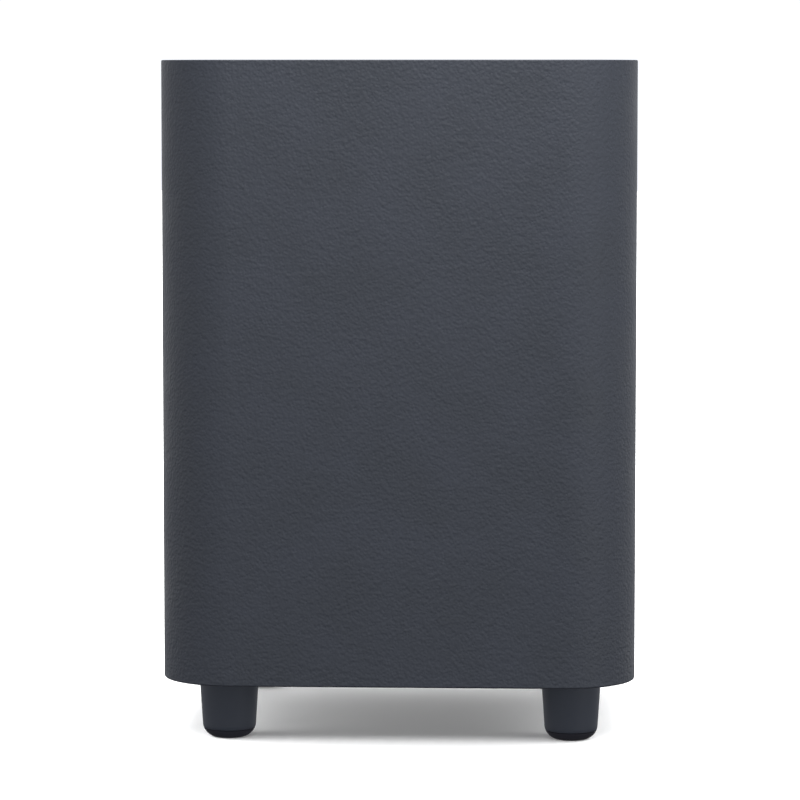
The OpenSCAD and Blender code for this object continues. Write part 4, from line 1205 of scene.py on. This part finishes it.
sunk_screw = (sunk_head(3.7, 1.8), 1.9, 12, 2.1, 1.2)
plate_spots = [
    (i * PLATE_X, PLATE_FACE, AMP_Z + j * PLATE_Z)
    for i in (-1, 0, 1) for j in (-1, 0, 1) if (i, j) != (0, 0)
]
set_screws("plate_bolts", "plate_screws", sunk_screw, plate_spots, REARWARDS, 11)
housing_spots = [
    (i * HOUSING_X, PLATE_FACE, AMP_Z + j * HOUSING_Z) for i in (-1, 1) for j in (-1, 1)
]
set_screws("housing_bolts", "housing_screws", sunk_screw, housing_spots, REARWARDS, 5)

# %% [markdown]
# ## Controls and sockets
#
# The mains inlet has the usual two-pin mouth in the shape of an eight. Only the round connect key moves.
# The light is a clear rod that brings light from the board to the plate.

# %% Controls and sockets
# Clear polycarbonate: a glassy bead that lets light in and glints at its rim.
tree, shader, place, _ = surface(
    "clear", "clear_polycarbonate", ("#dfe8ef", "#e6eef4"), (0.08, 0.14), ior=1.58,
    sockets=[("Transmission Weight", 0.55)],
)
relief(tree, shader, grain(tree, place, 0.6), 0.01)
for node, finish, slot_name, width in (
    ("mains_inlet", "gloss_abs", "inlet_plastic", 0.3), ("inlet_pins", "nickel", "pin_nickel", 0.15),
    ("service_port", "tin", "shield_tin", 0.12), ("status_light", "clear", "light_rod", 0.12),
    ("button_switch", "resin", "button_plastic", 0.2),
):
    eased(node, finish, width)
eased("switch_plunger", "nylon", 0.2, body="connect_button")

KEY_IN, KEY_OUT = span("connect_button", 1)
key_outline = [(0, KEY_IN), (6.4, KEY_IN), (6.4, KEY_IN + 1.4), (5.0, KEY_IN + 1.4)]
key_outline += [(r, KEY_OUT - depth) for r, depth in (
    (5.0, 0.6), (4.9, 0.25), (4.6, 0.04), (4.2, 0), (3.4, 0.18), (2.0, 0.38), (0, 0.45),
)]
key_centre = (middle("connect_button", 0), CONTROL_Z * MM)
key = turned("connect_key", key_outline, 96, key_centre, True, closed=False)
finish_piece(key, "gloss_abs", ["connect_button"], 40, "connect_button")
print("key", len(key.data.polygons), "faces")

# %% [markdown]
# ## Inside the amplifier
#
# A sealed tub behind the plate holds two boards on brass spacers. Green solder mask covers copper tracks,
# which show through it a little lighter. The large parts stand on the inner side of the boards.

# %% Boards
# Solder mask: a glossy deep green, lighter and raised where a track runs under it.
tree, shader, place, colour = surface(
    "mask", "solder_mask_on_glass_fibre", ("#0f4a2c", "#125232"), (0.25, 0.35), drift_mm=20,
)
upright = add(tree, "ShaderNodeMapping", {"Vector": place, "Rotation": (math.pi / 2, 0, 0)})
tracks = add(tree, "ShaderNodeTexBrick", {
    "Vector": upright.outputs[0], "Scale": 1.0, "Brick Width": 0.009, "Row Height": 0.0021,
    "Mortar Size": 0.0004,
}).outputs["Fac"]
lighter = add(tree, "ShaderNodeMix", {0: tracks, 6: colour, 7: linear("#1d6a41")}, data_type="RGBA")
tree.links.new(lighter.outputs[2], shader.inputs["Base Color"])
relief(tree, shader, tracks, 0.04)
for node, finish, slot_name, width in (
    ("power_board", "mask", "circuit_board", 0.2), ("amp_board", "mask", "circuit_board", 0.2),
    ("board_spacers", "brass", "insert_brass", 0.15), ("amp_housing", "panel_abs", "panel_plastic", 0.6),
    ("plate_gasket", "foam", "gasket_foam", 0), ("harness_gland", "foam", "gasket_foam", 0.2),
    ("transformer", "core", "transformer_core", 0.5), ("bulk_capacitors", "sleeve", "capacitor_sleeve", 0.8),
    ("amp_chip", "resin", "chip_resin", 0.15), ("heatsink", "aluminium", "heatsink_aluminium", 0.2),
    ("wireless_module", "tin", "shield_tin", 0.25), ("harness_connectors", "nylon", "connector_nylon", 0.4),
    ("speaker_harness", "wire_red", "wire_sleeve", 0),
):
    eased(node, finish, width)

INWARDS = (0, -1, 0)
SCREW_INSET = 0.004
board_spots = []
for low, high in (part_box("power_board"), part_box("amp_board")):
    for x in (low[0] + SCREW_INSET, high[0] - SCREW_INSET):
        for z in (low[2] + SCREW_INSET, high[2] - SCREW_INSET):
            board_spots.append((x / MM, low[1] / MM, z / MM))
board_screw = (pan_head(2.7, 1.8), 1.4, 6, 1.6, 1.0)
set_screws("board_bolts", "board_screws", board_screw, board_spots, INWARDS, 2, "steel")

# %% Inductors
INDUCTOR_Z = middle("output_inductors", 2)
SIDES = (("left", -12.0), ("right", 12.0))
CORE_IN, CORE_OUT = 121.6, 135.2
WINDING_END = 134.4
bobbin = tube_of(2.6, 4.6, CORE_IN, CORE_OUT, 0.6)
cores = piece_from(merged([
    rings_to_bmesh([circle_ring(r * MM, h * MM, 40, (x * MM, INDUCTOR_Z), True) for r, h in bobbin], True)
    for side, x in SIDES
]), "inductor_cores")
finish_piece(cores, "ferrite", ["output_inductors"], 50)
for side, x in SIDES:
    turns = bake("inductor_winding_" + side, winding, {
        "Radius": 5.7 * MM, "Height": 12.0 * MM, "Turns": 11.0, "Wire": 0.5 * MM, "Start": (0, 0, 0),
        "Finish": MATERIALS["copper"],
    })
    lying = Matrix.Rotation(math.pi / 2, 4, "X")
    turns.data.transform(Matrix.Translation((x * MM, WINDING_END * MM, INDUCTOR_Z)) @ lying)
    finish_piece(turns, None, [], 60)
    print(turns.name, len(turns.data.polygons), "faces")

# %% What is left
plain = [name for name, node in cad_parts.items() if not node.hide_render]
print("CAD nodes still shown:", plain)
